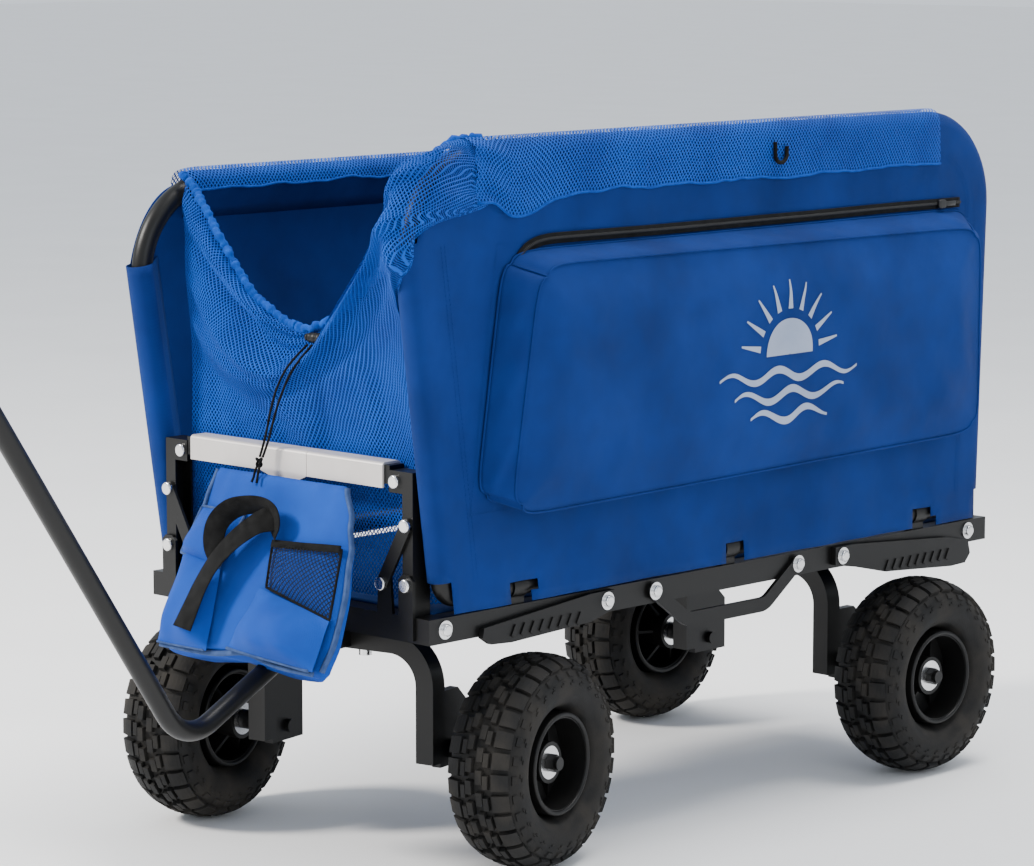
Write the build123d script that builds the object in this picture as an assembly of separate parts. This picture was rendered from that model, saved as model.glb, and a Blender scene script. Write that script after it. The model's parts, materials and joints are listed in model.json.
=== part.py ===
"""Folding beach cart: steel base on four pneumatic wheels, steered front truck with pull handle,
two fold-out fabric side panels, end frames with silver crossbars, net ends and a front organiser bag.

Cart axes: +X is the pocket side ("near"), -Y is the front, +Z is up, z = 0 is the ground.
Millimetres. Nodes are written at rest, with the front truck turned by REST_STEER degrees.
"""
from build123d import *
import math
import os

# ---- driving dimensions ----
ORIGIN_X = 0.0            # the cart is as wide on both sides
ORIGIN_Y = -405.0         # moved to y = 0 when written: middle of the whole cart, handle included
WHEEL_R = 130.0           # 10-inch pneumatic wheel
TYRE_W = 100.0
TRACK = 486.0             # between the wheel centres, side to side
BASE_HALF = 243.0         # outer face of a side rail
BASE_FRONT = -528.0
BASE_REAR = 524.0
TUBE = 30.0               # square base tube
WALL = 1.5
RAIL_TOP = 323.0
RAIL_BOTTOM = RAIL_TOP - TUBE
BOW_TUBE = 25.0
BOW_TOP = 275.5
LEG_X = 125.0
LEG_BOTTOM = 120.0
AXLE_BEHIND_BOW = 43.0
KINGPIN_Y = -398.0
REST_STEER = 11.0         # the truck is parked turned towards the pocket side
REAR_BOW_Y = 334.0
AXLE_R = 8.0
RUN = 0.06                # radial clearance of running fits
PIVOT_DROP = 266.0        # height of the handle pivot
PIVOT_FORWARD = 150.0     # handle pivot ahead of the kingpin
PANEL_X = 234.0           # middle plane of a side panel, and its hinge axis
HINGE_Z = 345.0
PANEL_TUBE_R = 12.7
SLEEVE_R = 16.5
NEAR_TOP = 855.0          # centre line of the near panel's top tube
FAR_TOP = 799.0
POST_X = (199.0, 216.0)    # inner and outer face of a crossbar post
POST_MID = 208.0
BAR_Z = (470.0, 500.0)
BOLT_R = 4.0
MID_Y = (BASE_FRONT + BASE_REAR) / 2
SIDES = {"near": 1, "far": -1}
ENDS = ("front", "rear")
NODES = {}


# ---- helpers ----
def block(x0, x1, y0, y1, z0, z1):
    """Box between two corners."""
    centre = ((x0 + x1) / 2, (y0 + y1) / 2, (z0 + z1) / 2)
    return Pos(*centre) * Box(x1 - x0, y1 - y0, z1 - z0)


def rod(start, direction, radius, length):
    """Round bar from a start point along a direction."""
    at = Plane(origin=start, z_dir=direction)
    return at * Cylinder(radius, length, align=(Align.CENTER, Align.CENTER, Align.MIN))


def ring(start, direction, inner, outer, length):
    """Round tube from a start point along a direction."""
    return rod(start, direction, outer, length) - rod(start, direction, inner, length)


def side_plate(sketch, x0, x1):
    """Sketch with (y, z) coordinates, extruded from x0 to x1."""
    return extrude(Plane(origin=(x0, 0, 0), x_dir=(0, 1, 0), z_dir=(1, 0, 0)) * sketch, x1 - x0)


def end_plate(sketch, y0, y1):
    """Sketch with (x, z) coordinates, extruded from y1 back to y0."""
    return extrude(Plane(origin=(0, y1, 0), x_dir=(1, 0, 0), z_dir=(0, -1, 0)) * sketch, y1 - y0)


def outline(*points):
    """Face from corner points."""
    return make_face(Polyline(*points, close=True))


def bar_shape(start, end, width):
    """Flat link with round ends."""
    return trace(Line(start, end), width)


def on_side(shape, side):
    """A shape made for +X, mirrored to the far side when asked."""
    return shape if side == "near" else mirror(shape, about=Plane.YZ)


def at_end(shape, end):
    """A shape made for the front end, mirrored to the rear end when asked."""
    if end == "front":
        return shape
    return mirror(shape, about=Plane(origin=(0, MID_Y, 0), x_dir=(1, 0, 0), z_dir=(0, 1, 0)))


def in_truck(shape):
    """From the truck's own straight-ahead frame, kingpin at the origin, to the parked pose."""
    return Pos(0, KINGPIN_Y, 0) * Rot(0, 0, REST_STEER) * shape


def swept(path, section, hollow=None):
    """Section along a path, with an optional hollow."""
    solid = sweep((path ^ 0) * section, path=path)
    if hollow is None:
        return solid
    return solid - sweep((path ^ 0) * hollow, path=path)


def add(name, *shapes):
    """Keep the shapes as one node, moved so that the cart stands over the origin."""
    solids = [piece for shape in shapes for piece in shape.solids()]
    NODES[name] = Pos(-ORIGIN_X, -ORIGIN_Y, 0) * Compound(children=solids)


# ---- wheels: axis along X, outboard is +X, centre at the origin ----
def tyre():
    outer = Pos(0, 96) * Rectangle(TYRE_W, 68)
    outer = fillet(outer.vertices().group_by(Axis.Y)[-1], 24)
    outer = fillet(outer.vertices().group_by(Axis.Y)[0], 15)
    hollow = Pos(0, 97.5) * Rectangle(TYRE_W - 16, 47)
    hollow = fillet(hollow.vertices(), 14)
    mouth = Pos(0, 70) * Rectangle(60, 20)
    return revolve(outer - hollow - mouth, axis=Axis.X)


def rim():
    barrel = revolve(Pos(0, 58.5) * Rectangle(80, 7), axis=Axis.X)
    lips = [revolve(Pos(side * 40, 59) * Circle(3), axis=Axis.X) for side in (-1, 1)]
    hub = revolve(Pos(-15.5, 22.5) * Rectangle(81, 5), axis=Axis.X)
    web = revolve(Pos(0, 39.5) * Rectangle(7, 35), axis=Axis.X)
    fin = outline((-42, 23), (16, 23), (4, 56), (-26, 56))
    solid = barrel + lips + hub + web
    for k in range(6):
        solid += Rot(60 * k, 0, 0) * extrude(fin, 2, both=True)
    return solid


def wheel_bearings():
    faces = (-56, 13)
    return [ring((face, 0, 0), (1, 0, 0), AXLE_R + RUN, 20, 12) for face in faces]


def wheel_place(side):
    """Location of a wheel on its axle line, outboard turned away from the cart."""
    sign = SIDES[side]
    return Pos(sign * TRACK / 2, 0, 0) * Rot(0, 0, 0 if sign > 0 else 180)


def make_wheels():
    for end in ENDS:
        for side in SIDES:
            spot = Pos(0, 0, WHEEL_R) * wheel_place(side)
            pieces = {"tyre": [tyre()], "rim": [rim()], "bearings": wheel_bearings()}
            for piece, shapes in pieces.items():
                if end == "front":
                    placed = [in_truck(spot * shape) for shape in shapes]
                else:
                    placed = [Pos(0, REAR_BOW_Y + AXLE_BEHIND_BOW, 0) * (spot * shape) for shape in shapes]
                add(f"{end}_{side}_{piece}", *placed)


# ---- bows: the axle line is y = 0 and the bow stands AXLE_BEHIND_BOW in front of it ----
def bow():
    middle = BOW_TOP - BOW_TUBE / 2
    path = FilletPolyline((-LEG_X, -AXLE_BEHIND_BOW, LEG_BOTTOM), (-LEG_X, -AXLE_BEHIND_BOW, middle),
                          (LEG_X, -AXLE_BEHIND_BOW, middle), (LEG_X, -AXLE_BEHIND_BOW, LEG_BOTTOM), radius=50)
    return swept(path, Rectangle(BOW_TUBE, BOW_TUBE), Rectangle(BOW_TUBE - 4, BOW_TUBE - 4))


def axle_bracket():
    """Bracket behind the leg with the stub axle welded through it."""
    back = -AXLE_BEHIND_BOW + BOW_TUBE / 2
    shape = outline((back, 112), (32, 112), (32, 182), (8, 205), (back, 205))
    return side_plate(shape, 119, 131) + rod((112, 0, WHEEL_R), (1, 0, 0), AXLE_R, 170)


def axle_spacer():
    return ring((131, 0, WHEEL_R), (1, 0, 0), AXLE_R, 12, 55.5)


def axle_nut():
    face = TRACK / 2 + 25.5
    nut = Plane(origin=(face, 0, WHEEL_R), z_dir=(1, 0, 0)) * extrude(RegularPolygon(11, 6), 9)
    return nut - rod((face, 0, WHEEL_R), (1, 0, 0), AXLE_R, 9)


def make_bows():
    for end in ENDS:
        place = in_truck if end == "front" else (lambda s: Pos(0, REAR_BOW_Y + AXLE_BEHIND_BOW, 0) * s)
        spacers = []
        if end == "rear":
            spacers = [block(x - 15, x + 15, REAR_BOW_Y - 15, REAR_BOW_Y + 15, BOW_TOP, RAIL_BOTTOM)
                       for x in (-60, 60)]
        add(f"{end}_bow", place(bow()), *spacers)
        add(f"{end}_axle_brackets", *[place(on_side(axle_bracket(), side)) for side in SIDES])
        fittings = [place(on_side(piece(), side)) for piece in (axle_spacer, axle_nut) for side in SIDES]
        add(f"{end}_axle_spacers_and_nuts", *fittings)


# ---- steering ----
def make_steering():
    hub = block(-45, 45, -58, 40, BOW_TOP, BOW_TOP + 4) + rod((0, 0, 252), (0, 0, 1), 24, 25)
    hub -= rod((0, 0, 250), (0, 0, 1), AXLE_R + RUN, 32)
    front = -AXLE_BEHIND_BOW - BOW_TUBE / 2
    cheek = outline((front, 253), (front, 275), (-PIVOT_FORWARD + 6, 279), (-PIVOT_FORWARD - 12, 275),
                    (-PIVOT_FORWARD - 15, 262), (-PIVOT_FORWARD - 6, 254))
    cheek -= Pos(-PIVOT_FORWARD, PIVOT_DROP) * Circle(5)
    cheeks = [side_plate(cheek, 13.5, 17.5), side_plate(cheek, -17.5, -13.5)]
    add("turntable_hub_and_yoke", in_truck(hub), *[in_truck(plate) for plate in cheeks])
    beam_hole = rod((0, KINGPIN_Y, 280), (0, 0, 1), AXLE_R, 50)
    plate = block(-60, 60, KINGPIN_Y - 45, KINGPIN_Y + 45, RAIL_BOTTOM - 4, RAIL_BOTTOM)
    add("turntable_plate", plate - beam_hole)
    beam = block(-213, 213, KINGPIN_Y - 20, KINGPIN_Y + 20, RAIL_BOTTOM, RAIL_TOP)
    beam -= block(-213, 213, KINGPIN_Y - 18, KINGPIN_Y + 18, RAIL_BOTTOM + 2, RAIL_TOP - 2)
    add("kingpin_beam", beam - beam_hole)
    washer = ring((0, KINGPIN_Y, 279.8), (0, 0, 1), AXLE_R, 28, 9.2)
    bolt = rod((0, KINGPIN_Y, 232), (0, 0, 1), AXLE_R, 98)
    bolt += Pos(0, KINGPIN_Y, RAIL_TOP) * extrude(RegularPolygon(13, 6), 7)
    nut = Pos(0, KINGPIN_Y, 241.5) * extrude(RegularPolygon(13, 6), 10)
    nut -= rod((0, KINGPIN_Y, 240), (0, 0, 1), AXLE_R, 14)
    add("kingpin_bolt_washer_nut", bolt, washer, nut)


# ---- pull handle: (forward, z) in the truck frame, forward is -Y ----
HANDLE_CORNER = (361.0, 185.0)
HANDLE_TOP = (934.0, 930.0)
HANDLE_R = 12.0


def make_handle():
    pivot = (0, -PIVOT_FORWARD, PIVOT_DROP)
    bolt = rod((-23, -PIVOT_FORWARD, PIVOT_DROP), (1, 0, 0), 5, 46)
    bolt += rod((17.5, -PIVOT_FORWARD, PIVOT_DROP), (1, 0, 0), 9, 6)
    bolt += rod((-23.5, -PIVOT_FORWARD, PIVOT_DROP), (1, 0, 0), 9, 6)
    add("handle_pivot_bolt", in_truck(bolt))
    slope = math.atan2(HANDLE_CORNER[1] - PIVOT_DROP, HANDLE_CORNER[0] - PIVOT_FORWARD)
    start = (0, -PIVOT_FORWARD - 10 * math.cos(slope), PIVOT_DROP + 10 * math.sin(slope))
    path = FilletPolyline(start, (0, -HANDLE_CORNER[0], HANDLE_CORNER[1]),
                          (0, -HANDLE_TOP[0], HANDLE_TOP[1]), radius=70)
    tube = swept(path, Circle(HANDLE_R))
    tube += rod((-13, pivot[1], pivot[2]), (1, 0, 0), 13.5, 26)
    tube += rod((-62, -HANDLE_TOP[0], HANDLE_TOP[1]), (1, 0, 0), HANDLE_R, 124)
    tube -= sweep((path ^ 0) * Circle(HANDLE_R - 1.5), path=path)
    tube += rod((-13, pivot[1], pivot[2]), (1, 0, 0), 13.5, 26)
    tube -= rod((-14, pivot[1], pivot[2]), (1, 0, 0), 5 + RUN, 28)
    add("handle_tube", in_truck(tube))
    grip = rod((14, -HANDLE_TOP[0], HANDLE_TOP[1]), (1, 0, 0), 15.5, 53)
    grip = fillet(grip.edges(), 2) - rod((0, -HANDLE_TOP[0], HANDLE_TOP[1]), (1, 0, 0), HANDLE_R, 62)
    add("handle_grips", *[in_truck(on_side(grip, side)) for side in SIDES])


# ---- base frame ----
BOLT_FACES = {-503: 0, -235: 8, -145: 5, 126: 5, 212: 8, 484: 0}   # y of each rail bolt: what it clamps


def rail():
    solid = block(BASE_HALF - TUBE, BASE_HALF, BASE_FRONT, BASE_REAR, RAIL_BOTTOM, RAIL_TOP)
    solid -= block(BASE_HALF - TUBE + WALL, BASE_HALF - WALL, BASE_FRONT + WALL, BASE_REAR - WALL,
                   RAIL_BOTTOM + WALL, RAIL_TOP - WALL)
    for y in BOLT_FACES:
        solid -= rod((BASE_HALF - 6, y, 309), (1, 0, 0), BOLT_R, 10)
    return solid


def rail_bolt(y, face):
    seat = BASE_HALF + face
    solid = rod((BASE_HALF - 26, y, 309), (1, 0, 0), BOLT_R, 26 + face)
    solid += rod((seat, y, 309), (1, 0, 0), 11, 1.8)
    head = rod((seat + 1.8, y, 309), (1, 0, 0), 7.2, 5)
    return solid + fillet(head.edges().group_by(Axis.X)[-1], 2.5)


def crossmember(y0, y1):
    solid = block(-213, 213, y0, y1, RAIL_BOTTOM, RAIL_TOP)
    return solid - block(-213, 213, y0 + WALL, y1 - WALL, RAIL_BOTTOM + WALL, RAIL_TOP - WALL)


def lift_grip(end):
    """Moulded ribbed grip under a rail, held by one bolt."""
    if end == "front":
        edge = ((-221, 321), (-221, 298), (-262, 287), (-330, 284), (-400, 281), (-434, 283),
                (-448, 292), (-446, 304), (-262, 321))
        pivot, ribs = -235, range(-400, -285, 16)
    else:
        edge = ((198, 321), (198, 298), (239, 291), (300, 277), (440, 267), (470, 268),
                (481, 280), (476, 298), (430, 307), (239, 321))
        pivot, ribs = 212, range(300, 432, 16)
    shape = outline(*edge) - Pos(pivot, 309) * Circle(BOLT_R)
    solid = side_plate(shape, BASE_HALF, BASE_HALF + 8)
    low = 288 if end == "front" else 278
    for y in ribs:
        rib = bar_shape((y, low), (y + 7, low + 13), 5)
        solid += side_plate(rib, BASE_HALF + 8, BASE_HALF + 10)
    return solid


def carry_loop():
    path = FilletPolyline((-145, 309), (-84, 265), (64, 265), (126, 309), radius=30)
    shape = trace(path, 18)
    for y in (-145, 126):
        shape -= Pos(y, 309) * Circle(BOLT_R)
    return side_plate(shape, BASE_HALF, BASE_HALF + 5)


def make_base():
    bolts = [rail_bolt(y, face) for y, face in BOLT_FACES.items()]
    both = {"side_rails": [rail()], "rail_bolts": bolts, "carry_loops": [carry_loop()],
            "lift_grips": [lift_grip(end) for end in ENDS]}
    for name, shapes in both.items():
        add(name, *[on_side(shape, side) for side in SIDES for shape in shapes])
    starts = (BASE_FRONT, MID_Y - TUBE / 2, REAR_BOW_Y - TUBE / 2, BASE_REAR - TUBE)
    add("crossmembers", *[crossmember(start, start + TUBE) for start in starts])
    mat = block(-212, 212, -492, 488, RAIL_TOP, RAIL_TOP + 8)
    mat = fillet(mat.edges().filter_by(Axis.Z), 20)
    mat -= rod((0, KINGPIN_Y, RAIL_TOP - 1), (0, 0, 1), 15, 8.4)
    add("floor_mat", mat)
    pouch = block(-185, 185, 392, 514, 266, RAIL_BOTTOM)
    add("under_pouch", fillet(pouch.edges().group_by(Axis.Z)[0], 8))


# ---- end frames: made for the front, mirrored to the rear ----
FRONT_FACE = BASE_FRONT - 4
PIVOT_Z = 360             # bolt through the corner bracket and the post
LINK_Z = 430              # upper bolt of the brace link
TAB_SPOT = (168, 358)     # lower bolt of the brace link
BAR_BOLT = (187, 479)


def end_bolt(x, z, depth):
    """Small bolt through an end plate, head towards the front."""
    solid = rod((x, FRONT_FACE, z), (0, 1, 0), BOLT_R, depth)
    head = rod((x, FRONT_FACE, z), (0, -1, 0), 8, 4.5)
    return solid + fillet(head.edges().group_by(Axis.Y)[0], 2)


def post():
    solid = block(POST_X[0], POST_X[1], BASE_FRONT, BASE_FRONT + 28, RAIL_TOP, 492)
    solid -= block(POST_X[0] - 1, POST_X[1] - 3, BASE_FRONT + 3, BASE_FRONT + 25, RAIL_TOP, 466)
    for z in (PIVOT_Z, LINK_Z):
        solid -= rod((POST_MID, BASE_FRONT - 5, z), (0, 1, 0), BOLT_R, 12)
    return solid


def corner_bracket():
    shape = outline((196, 296), (220, 296), (220, 366), (214, 372), (202, 372), (196, 366))
    return end_plate(shape - Pos(POST_MID, PIVOT_Z) * Circle(BOLT_R), FRONT_FACE, BASE_FRONT)


def brace_link():
    spots = ((POST_MID, LINK_Z), TAB_SPOT)
    shape = bar_shape(*spots, 17)
    for spot in spots:
        shape -= Pos(*spot) * Circle(BOLT_R)
    return end_plate(shape, FRONT_FACE, BASE_FRONT)


def brace_tab():
    shape = outline((156, RAIL_TOP), (182, RAIL_TOP), (178, 368), (159, 368))
    return end_plate(shape - Pos(*TAB_SPOT) * Circle(BOLT_R), BASE_FRONT, BASE_FRONT + 4)


def bar_bracket():
    solid = block(177, POST_X[0], BASE_FRONT, BASE_FRONT + 24, 466, 492)
    return solid - rod((BAR_BOLT[0], BASE_FRONT - 1, BAR_BOLT[1]), (0, 1, 0), BOLT_R, 12)


def bar_cover(x0, x1, latch):
    """Inverted channel over the crossbar arm; the long one carries the latch bulge."""
    y0, y1 = BASE_FRONT - 2, BASE_FRONT + 28
    solid = block(x0, x1, y0, y1, *BAR_Z)
    solid = fillet(solid.edges().filter_by(Axis.X).group_by(Axis.Z)[-1], 5)
    solid -= block(x0, x1, y0 + 3, y1 - 3, BAR_Z[0], BAR_Z[1] - 3)
    if latch:
        solid += end_plate(outline((x1 - 82, 470), (x1 - 58, 463), (x1 - 16, 463), (x1, 470)), y0, y0 + 3)
    return solid


def make_end_frames():
    bolts = [end_bolt(POST_MID, PIVOT_Z, 7), end_bolt(POST_MID, LINK_Z, 7), end_bolt(*TAB_SPOT, 8)]
    bolts.append(Pos(0, 4, 0) * end_bolt(*BAR_BOLT, 10))
    paired = {"posts": [post()], "base_brackets": [corner_bracket(), brace_tab()],
              "brace_links": [brace_link()], "frame_bolts": bolts, "crossbar_arms": [bar_bracket()]}
    single = {"crossbar_arms": block(-177, 177, BASE_FRONT + 1, BASE_FRONT + 25, 475, BAR_Z[1] - 3),
              "bar_covers_long": bar_cover(-168, 38.6, True), "bar_covers_short": bar_cover(39.4, 168, False)}
    groups = {name: [on_side(shape, side) for side in SIDES for shape in shapes]
              for name, shapes in paired.items()}
    for name, shape in single.items():
        groups.setdefault(name, []).append(shape)
    for name, shapes in groups.items():
        add(name, *[at_end(shape, end) for end in ENDS for shape in shapes])


# ---- side panels, made for +X ----
FRONT_FOOT, FRONT_HEAD = -497.0, -566.0
REAR_FOOT, REAR_HEAD = 486.0, 504.0
HINGE_STATIONS = (-380, 0, 380)


def panel_path(top, closed):
    """Centre line of the panel tube in its own plane."""
    corners = [(PANEL_X, FRONT_FOOT, HINGE_Z), (PANEL_X, FRONT_HEAD, top),
               (PANEL_X, REAR_HEAD, top), (PANEL_X, REAR_FOOT, HINGE_Z)]
    if closed:
        return FilletPolyline(*corners, radius=(22, 110, 110, 22), close=True)
    lift = 28                 # the sleeve starts this far above the hinge
    share = lift / (top - HINGE_Z)
    corners[0] = (PANEL_X, FRONT_FOOT + share * (FRONT_HEAD - FRONT_FOOT), HINGE_Z + lift)
    corners[3] = (PANEL_X, REAR_FOOT + share * (REAR_HEAD - REAR_FOOT), HINGE_Z + lift)
    return FilletPolyline(*corners, radius=110)


def panel_frame(top):
    path = panel_path(top, True)
    return swept(path, Circle(PANEL_TUBE_R), Circle(PANEL_TUBE_R - 1.3))


def panel_cover(top):
    """Fabric sleeve round three sides of the tube, with a single sheet on the outer side."""
    path = panel_path(top, False)
    sleeve = swept(path, Circle(SLEEVE_R))
    hem = HINGE_Z + 9         # folded out, the sheet clears the hinge clamps
    sheet = outline((FRONT_FOOT + 8, hem), (FRONT_HEAD + 10, top - 60), (FRONT_HEAD + 40, top - 14),
                    (FRONT_HEAD + 100, top), (REAR_HEAD - 100, top), (REAR_HEAD - 34, top - 14),
                    (REAR_HEAD - 4, top - 70), (REAR_FOOT - 4, hem))
    cover = sleeve + side_plate(sheet, PANEL_X + 15.2, PANEL_X + 18.2)
    cover -= sweep((path ^ 0) * Circle(PANEL_TUBE_R), path=path)
    bite = outline((FRONT_HEAD - 40, top - 130), (FRONT_HEAD + 24, top - 120), (FRONT_HEAD + 60, top - 60),
                   (FRONT_HEAD + 116, top - 22), (FRONT_HEAD + 124, top + 40), (FRONT_HEAD - 40, top + 40))
    return cover - side_plate(bite, PANEL_X - 30, PANEL_X + 30)


def hinge_clamp(y):
    solid = rod((PANEL_X, y - 12, HINGE_Z), (0, 1, 0), 15, 24)
    solid += block(PANEL_X - 6, PANEL_X + 6, y - 12, y + 12, RAIL_TOP, HINGE_Z - 13)
    return solid - rod((PANEL_X, y - 13, HINGE_Z), (0, 1, 0), PANEL_TUBE_R + RUN, 26)


def net_band(top):
    """Net folded over a panel's top edge."""
    shape = outline((PANEL_X - 21, top - 14), (PANEL_X - 21, top + 16), (PANEL_X - 14, top + 20.5),
                    (PANEL_X + 15, top + 20.5), (PANEL_X + 22, top + 16), (PANEL_X + 22, top - 14),
                    (PANEL_X + 18.6, top - 14), (PANEL_X + 18.6, top + 12), (PANEL_X + 13, top + 17),
                    (PANEL_X - 12, top + 17), (PANEL_X - 17, top + 12), (PANEL_X - 17, top - 14))
    return end_plate(shape, FRONT_HEAD + 132, REAR_HEAD - 112)


def make_panels():
    for side, top in (("near", NEAR_TOP), ("far", FAR_TOP)):
        add(f"{side}_panel_frame", on_side(panel_frame(top), side))
        add(f"{side}_panel_cover", on_side(panel_cover(top), side))
        add(f"{side}_net_band", on_side(net_band(top), side))
    add("hinge_clamps", *[on_side(hinge_clamp(y), side) for side in SIDES for y in HINGE_STATIONS])


# ---- pocket on the near panel ----
POCKET_X = PANEL_X + 18.2
POCKET_DEPTH = 47.0
ZIP_Z = 752.0


def make_pocket():
    def rectangle(x, corners):
        return Plane(origin=(x, 0, 0), x_dir=(0, 1, 0), z_dir=(1, 0, 0)) * outline(*corners)

    back = rectangle(POCKET_X, ((-458, 452), (468, 468), (468, 745), (-440, 745)))
    face = rectangle(POCKET_X + POCKET_DEPTH, ((-378, 430), (446, 452), (446, 722), (-322, 726)))
    add("cargo_pocket", loft([back, face]))
    add("pocket_zip", block(POCKET_X, POCKET_X + 2.6, -372, 442, ZIP_Z - 5, ZIP_Z + 5))
    slider = block(POCKET_X + 2.9, POCKET_X + 7.9, 392, 406, ZIP_Z - 5, ZIP_Z + 5)
    slider += block(POCKET_X + 4, POCKET_X + 6, 400, 432, ZIP_Z - 3.5, ZIP_Z + 3.5)
    add("zip_slider", slider)
    loop = FilletPolyline((PANEL_X + 24.5, 62, 848), (PANEL_X + 24.5, 62, 822), (PANEL_X + 24.5, 84, 822),
                          (PANEL_X + 24.5, 84, 842), radius=10.5)
    add("hem_loop", swept(loop, Circle(2.5)))


# ---- net ends ----
def make_nets():
    def edge(left, dip, right):
        return Spline((-200, left), (-111, (left + dip) / 2 - 12), (8, dip), (110, (right + dip) / 2 - 30),
                      (200, right))

    for end, y0 in (("front", -496), ("rear", 489)):
        top = edge(800, 634, 838)
        rest = Polyline((200, 838), (200, RAIL_TOP + 9), (-200, RAIL_TOP + 9), (-200, 800))
        add(f"{end}_net", end_plate(make_face([top, rest]), y0, y0 + 3))


# ---- front bag: hung from the front crossbar, leaning out towards the handle ----
def make_bag():
    def slice_at(z, x0, x1, y0, y1):
        return Pos((x0 + x1) / 2, (y0 + y1) / 2, z) * Rectangle(x1 - x0, y1 - y0)

    body = loft([slice_at(469, -104, 124, -545, -533), slice_at(372, -122, 152, -584, -560)])
    body += loft([slice_at(372, -122, 152, -584, -560), slice_at(272, -122, 152, -624, -594)])
    add("front_bag", body)
    lean = math.atan2(79, 197)
    face = Plane(origin=(0, -545, 469), x_dir=(1, 0, 0), z_dir=(0, -math.cos(lean), math.sin(lean)))

    def on_face(sketch, lift, thick):
        return face * (Pos(0, 0, lift) * extrude(sketch, thick))

    flap = on_face(outline((-106, -50), (-30, -52), (-46, -118), (-119, -108)), 0.3, 5)
    add("bag_net_pocket", on_face(outline((36, -84), (134, -76), (146, -154), (48, -134)), 0.3, 6))
    bottle = on_face(outline((32, -140), (52, -139), (146, -159), (146, -208), (6, -208)), 0.3, 22)
    add("bag_flap_and_pocket", flap, bottle)
    strap = bar_shape((10, -62), (-44, -188), 24)
    add("bag_strap", on_face(strap, 5.6, 3))


# ---- net drawstring: two strands from the cord lock to a knot, hanging over the front crossbar ----
LOCK = (28.0, -505.5, 632.0)
KNOT = (-24.0, -548.0, 482.0)
STRAND_R = 1.5
STRANDS = {
    "drawstring_left": [(23, -511, 624.6), (10, -529, 604), (-2, -539, 574), (-12, -541, 542),
                        (-20, -541, 512), (-26, -545, 488.5)],
    "drawstring_right": [(31, -511, 624.6), (18, -528, 602), (6, -537, 570), (-5, -540, 540),
                         (-14, -541, 510), (-21, -545, 488.5)],
}


def bend_radii(points):
    """Largest arc at each corner that leaves room for its neighbours."""
    radii = []
    for before, corner, after in zip(points, points[1:], points[2:]):
        first, second = Vector(*corner) - Vector(*before), Vector(*after) - Vector(*corner)
        half = math.radians(first.get_angle(second)) / 2
        radii.append(0.45 * min(first.length, second.length) / math.tan(half))
    return radii


def make_drawstring():
    lock = rod((LOCK[0] - 13, LOCK[1], LOCK[2]), (1, 0, 0), 6.5, 26)
    add("cord_lock", fillet(lock.edges(), 1.5))
    for name, points in STRANDS.items():
        radii = bend_radii(points)
        print(name, "bend radii", [round(radius) for radius in radii])
        path = FilletPolyline(*points, radius=radii)
        strand = swept(path, Circle(STRAND_R))
        print(name, "length", round(path.length, 1), "volume ratio",
              round(strand.volume / (math.pi * STRAND_R ** 2 * path.length), 3))
        add(name, strand)
    knot = Pos(*KNOT) * Sphere(5.5)
    for shift in (-3, 3):
        knot += rod((KNOT[0] + shift, KNOT[1] - 3, KNOT[2]), (shift / 30, -0.28, -1), STRAND_R, 22)
    add("drawstring_knot", knot)


def main():
    make_wheels()
    make_bows()
    make_steering()
    make_handle()
    make_base()
    make_end_frames()
    make_panels()
    make_pocket()
    make_nets()
    make_bag()
    make_drawstring()
    os.makedirs("parts", exist_ok=True)
    for name, shape in NODES.items():
        export_step(shape, f"parts/{name}.step")
    print(len(NODES), "nodes")


main()
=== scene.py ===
"""Looks of the beach cart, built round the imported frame.

Cart points are in millimetres: +X is the cargo pocket side ("near"), -Y the front, +Z up.
spot() turns them into the frame's metres.
"""
import json
import math
import bpy
from mathutils import Matrix, Vector, noise


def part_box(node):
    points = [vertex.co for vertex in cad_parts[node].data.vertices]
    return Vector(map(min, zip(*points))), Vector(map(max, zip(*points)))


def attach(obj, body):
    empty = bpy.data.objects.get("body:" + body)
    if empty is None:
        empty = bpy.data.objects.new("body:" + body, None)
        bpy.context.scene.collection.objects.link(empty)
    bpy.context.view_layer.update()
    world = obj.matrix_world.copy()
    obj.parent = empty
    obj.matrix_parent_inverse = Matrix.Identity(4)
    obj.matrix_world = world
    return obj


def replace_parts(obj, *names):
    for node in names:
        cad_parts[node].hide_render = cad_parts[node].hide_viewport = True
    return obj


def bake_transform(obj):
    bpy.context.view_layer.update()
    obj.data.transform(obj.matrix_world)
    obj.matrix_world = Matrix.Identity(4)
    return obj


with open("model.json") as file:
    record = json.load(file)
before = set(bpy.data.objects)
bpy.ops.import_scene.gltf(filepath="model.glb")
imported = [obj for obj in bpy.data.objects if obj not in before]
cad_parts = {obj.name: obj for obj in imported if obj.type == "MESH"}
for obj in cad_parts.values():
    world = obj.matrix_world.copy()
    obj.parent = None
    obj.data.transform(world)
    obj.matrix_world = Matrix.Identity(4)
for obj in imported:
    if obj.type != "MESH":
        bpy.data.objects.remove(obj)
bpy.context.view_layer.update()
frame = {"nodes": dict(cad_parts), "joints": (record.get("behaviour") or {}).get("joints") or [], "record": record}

MM = 0.001
FRONT_SHIFT = 405.0        # the frame's origin is this far in front of the cart's middle
PANEL_X = 234.0            # middle plane and hinge axis of a side panel
HINGE_Z = 345.0
SLEEVE_R = 16.5            # fabric round a panel tube
PANEL_TOPS = {"near": 855.0, "far": 799.0}
FRONT_FOOT, FRONT_HEAD = -497.0, -566.0
REAR_FOOT, REAR_HEAD = 486.0, 504.0
CORNER_R = 110.0
SIDES = {"near": 1, "far": -1}
BODIES = {side: f"{side}_panel" for side in SIDES}


def spot(x, y, z):
    """Cart millimetres to frame metres."""
    return Vector((x, y + FRONT_SHIFT, z)) * MM


def cart_box(node):
    """Both corners of a CAD node's box, in cart millimetres."""
    return [Vector((corner.x, corner.y - FRONT_SHIFT * MM, corner.z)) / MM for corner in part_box(node)]


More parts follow.
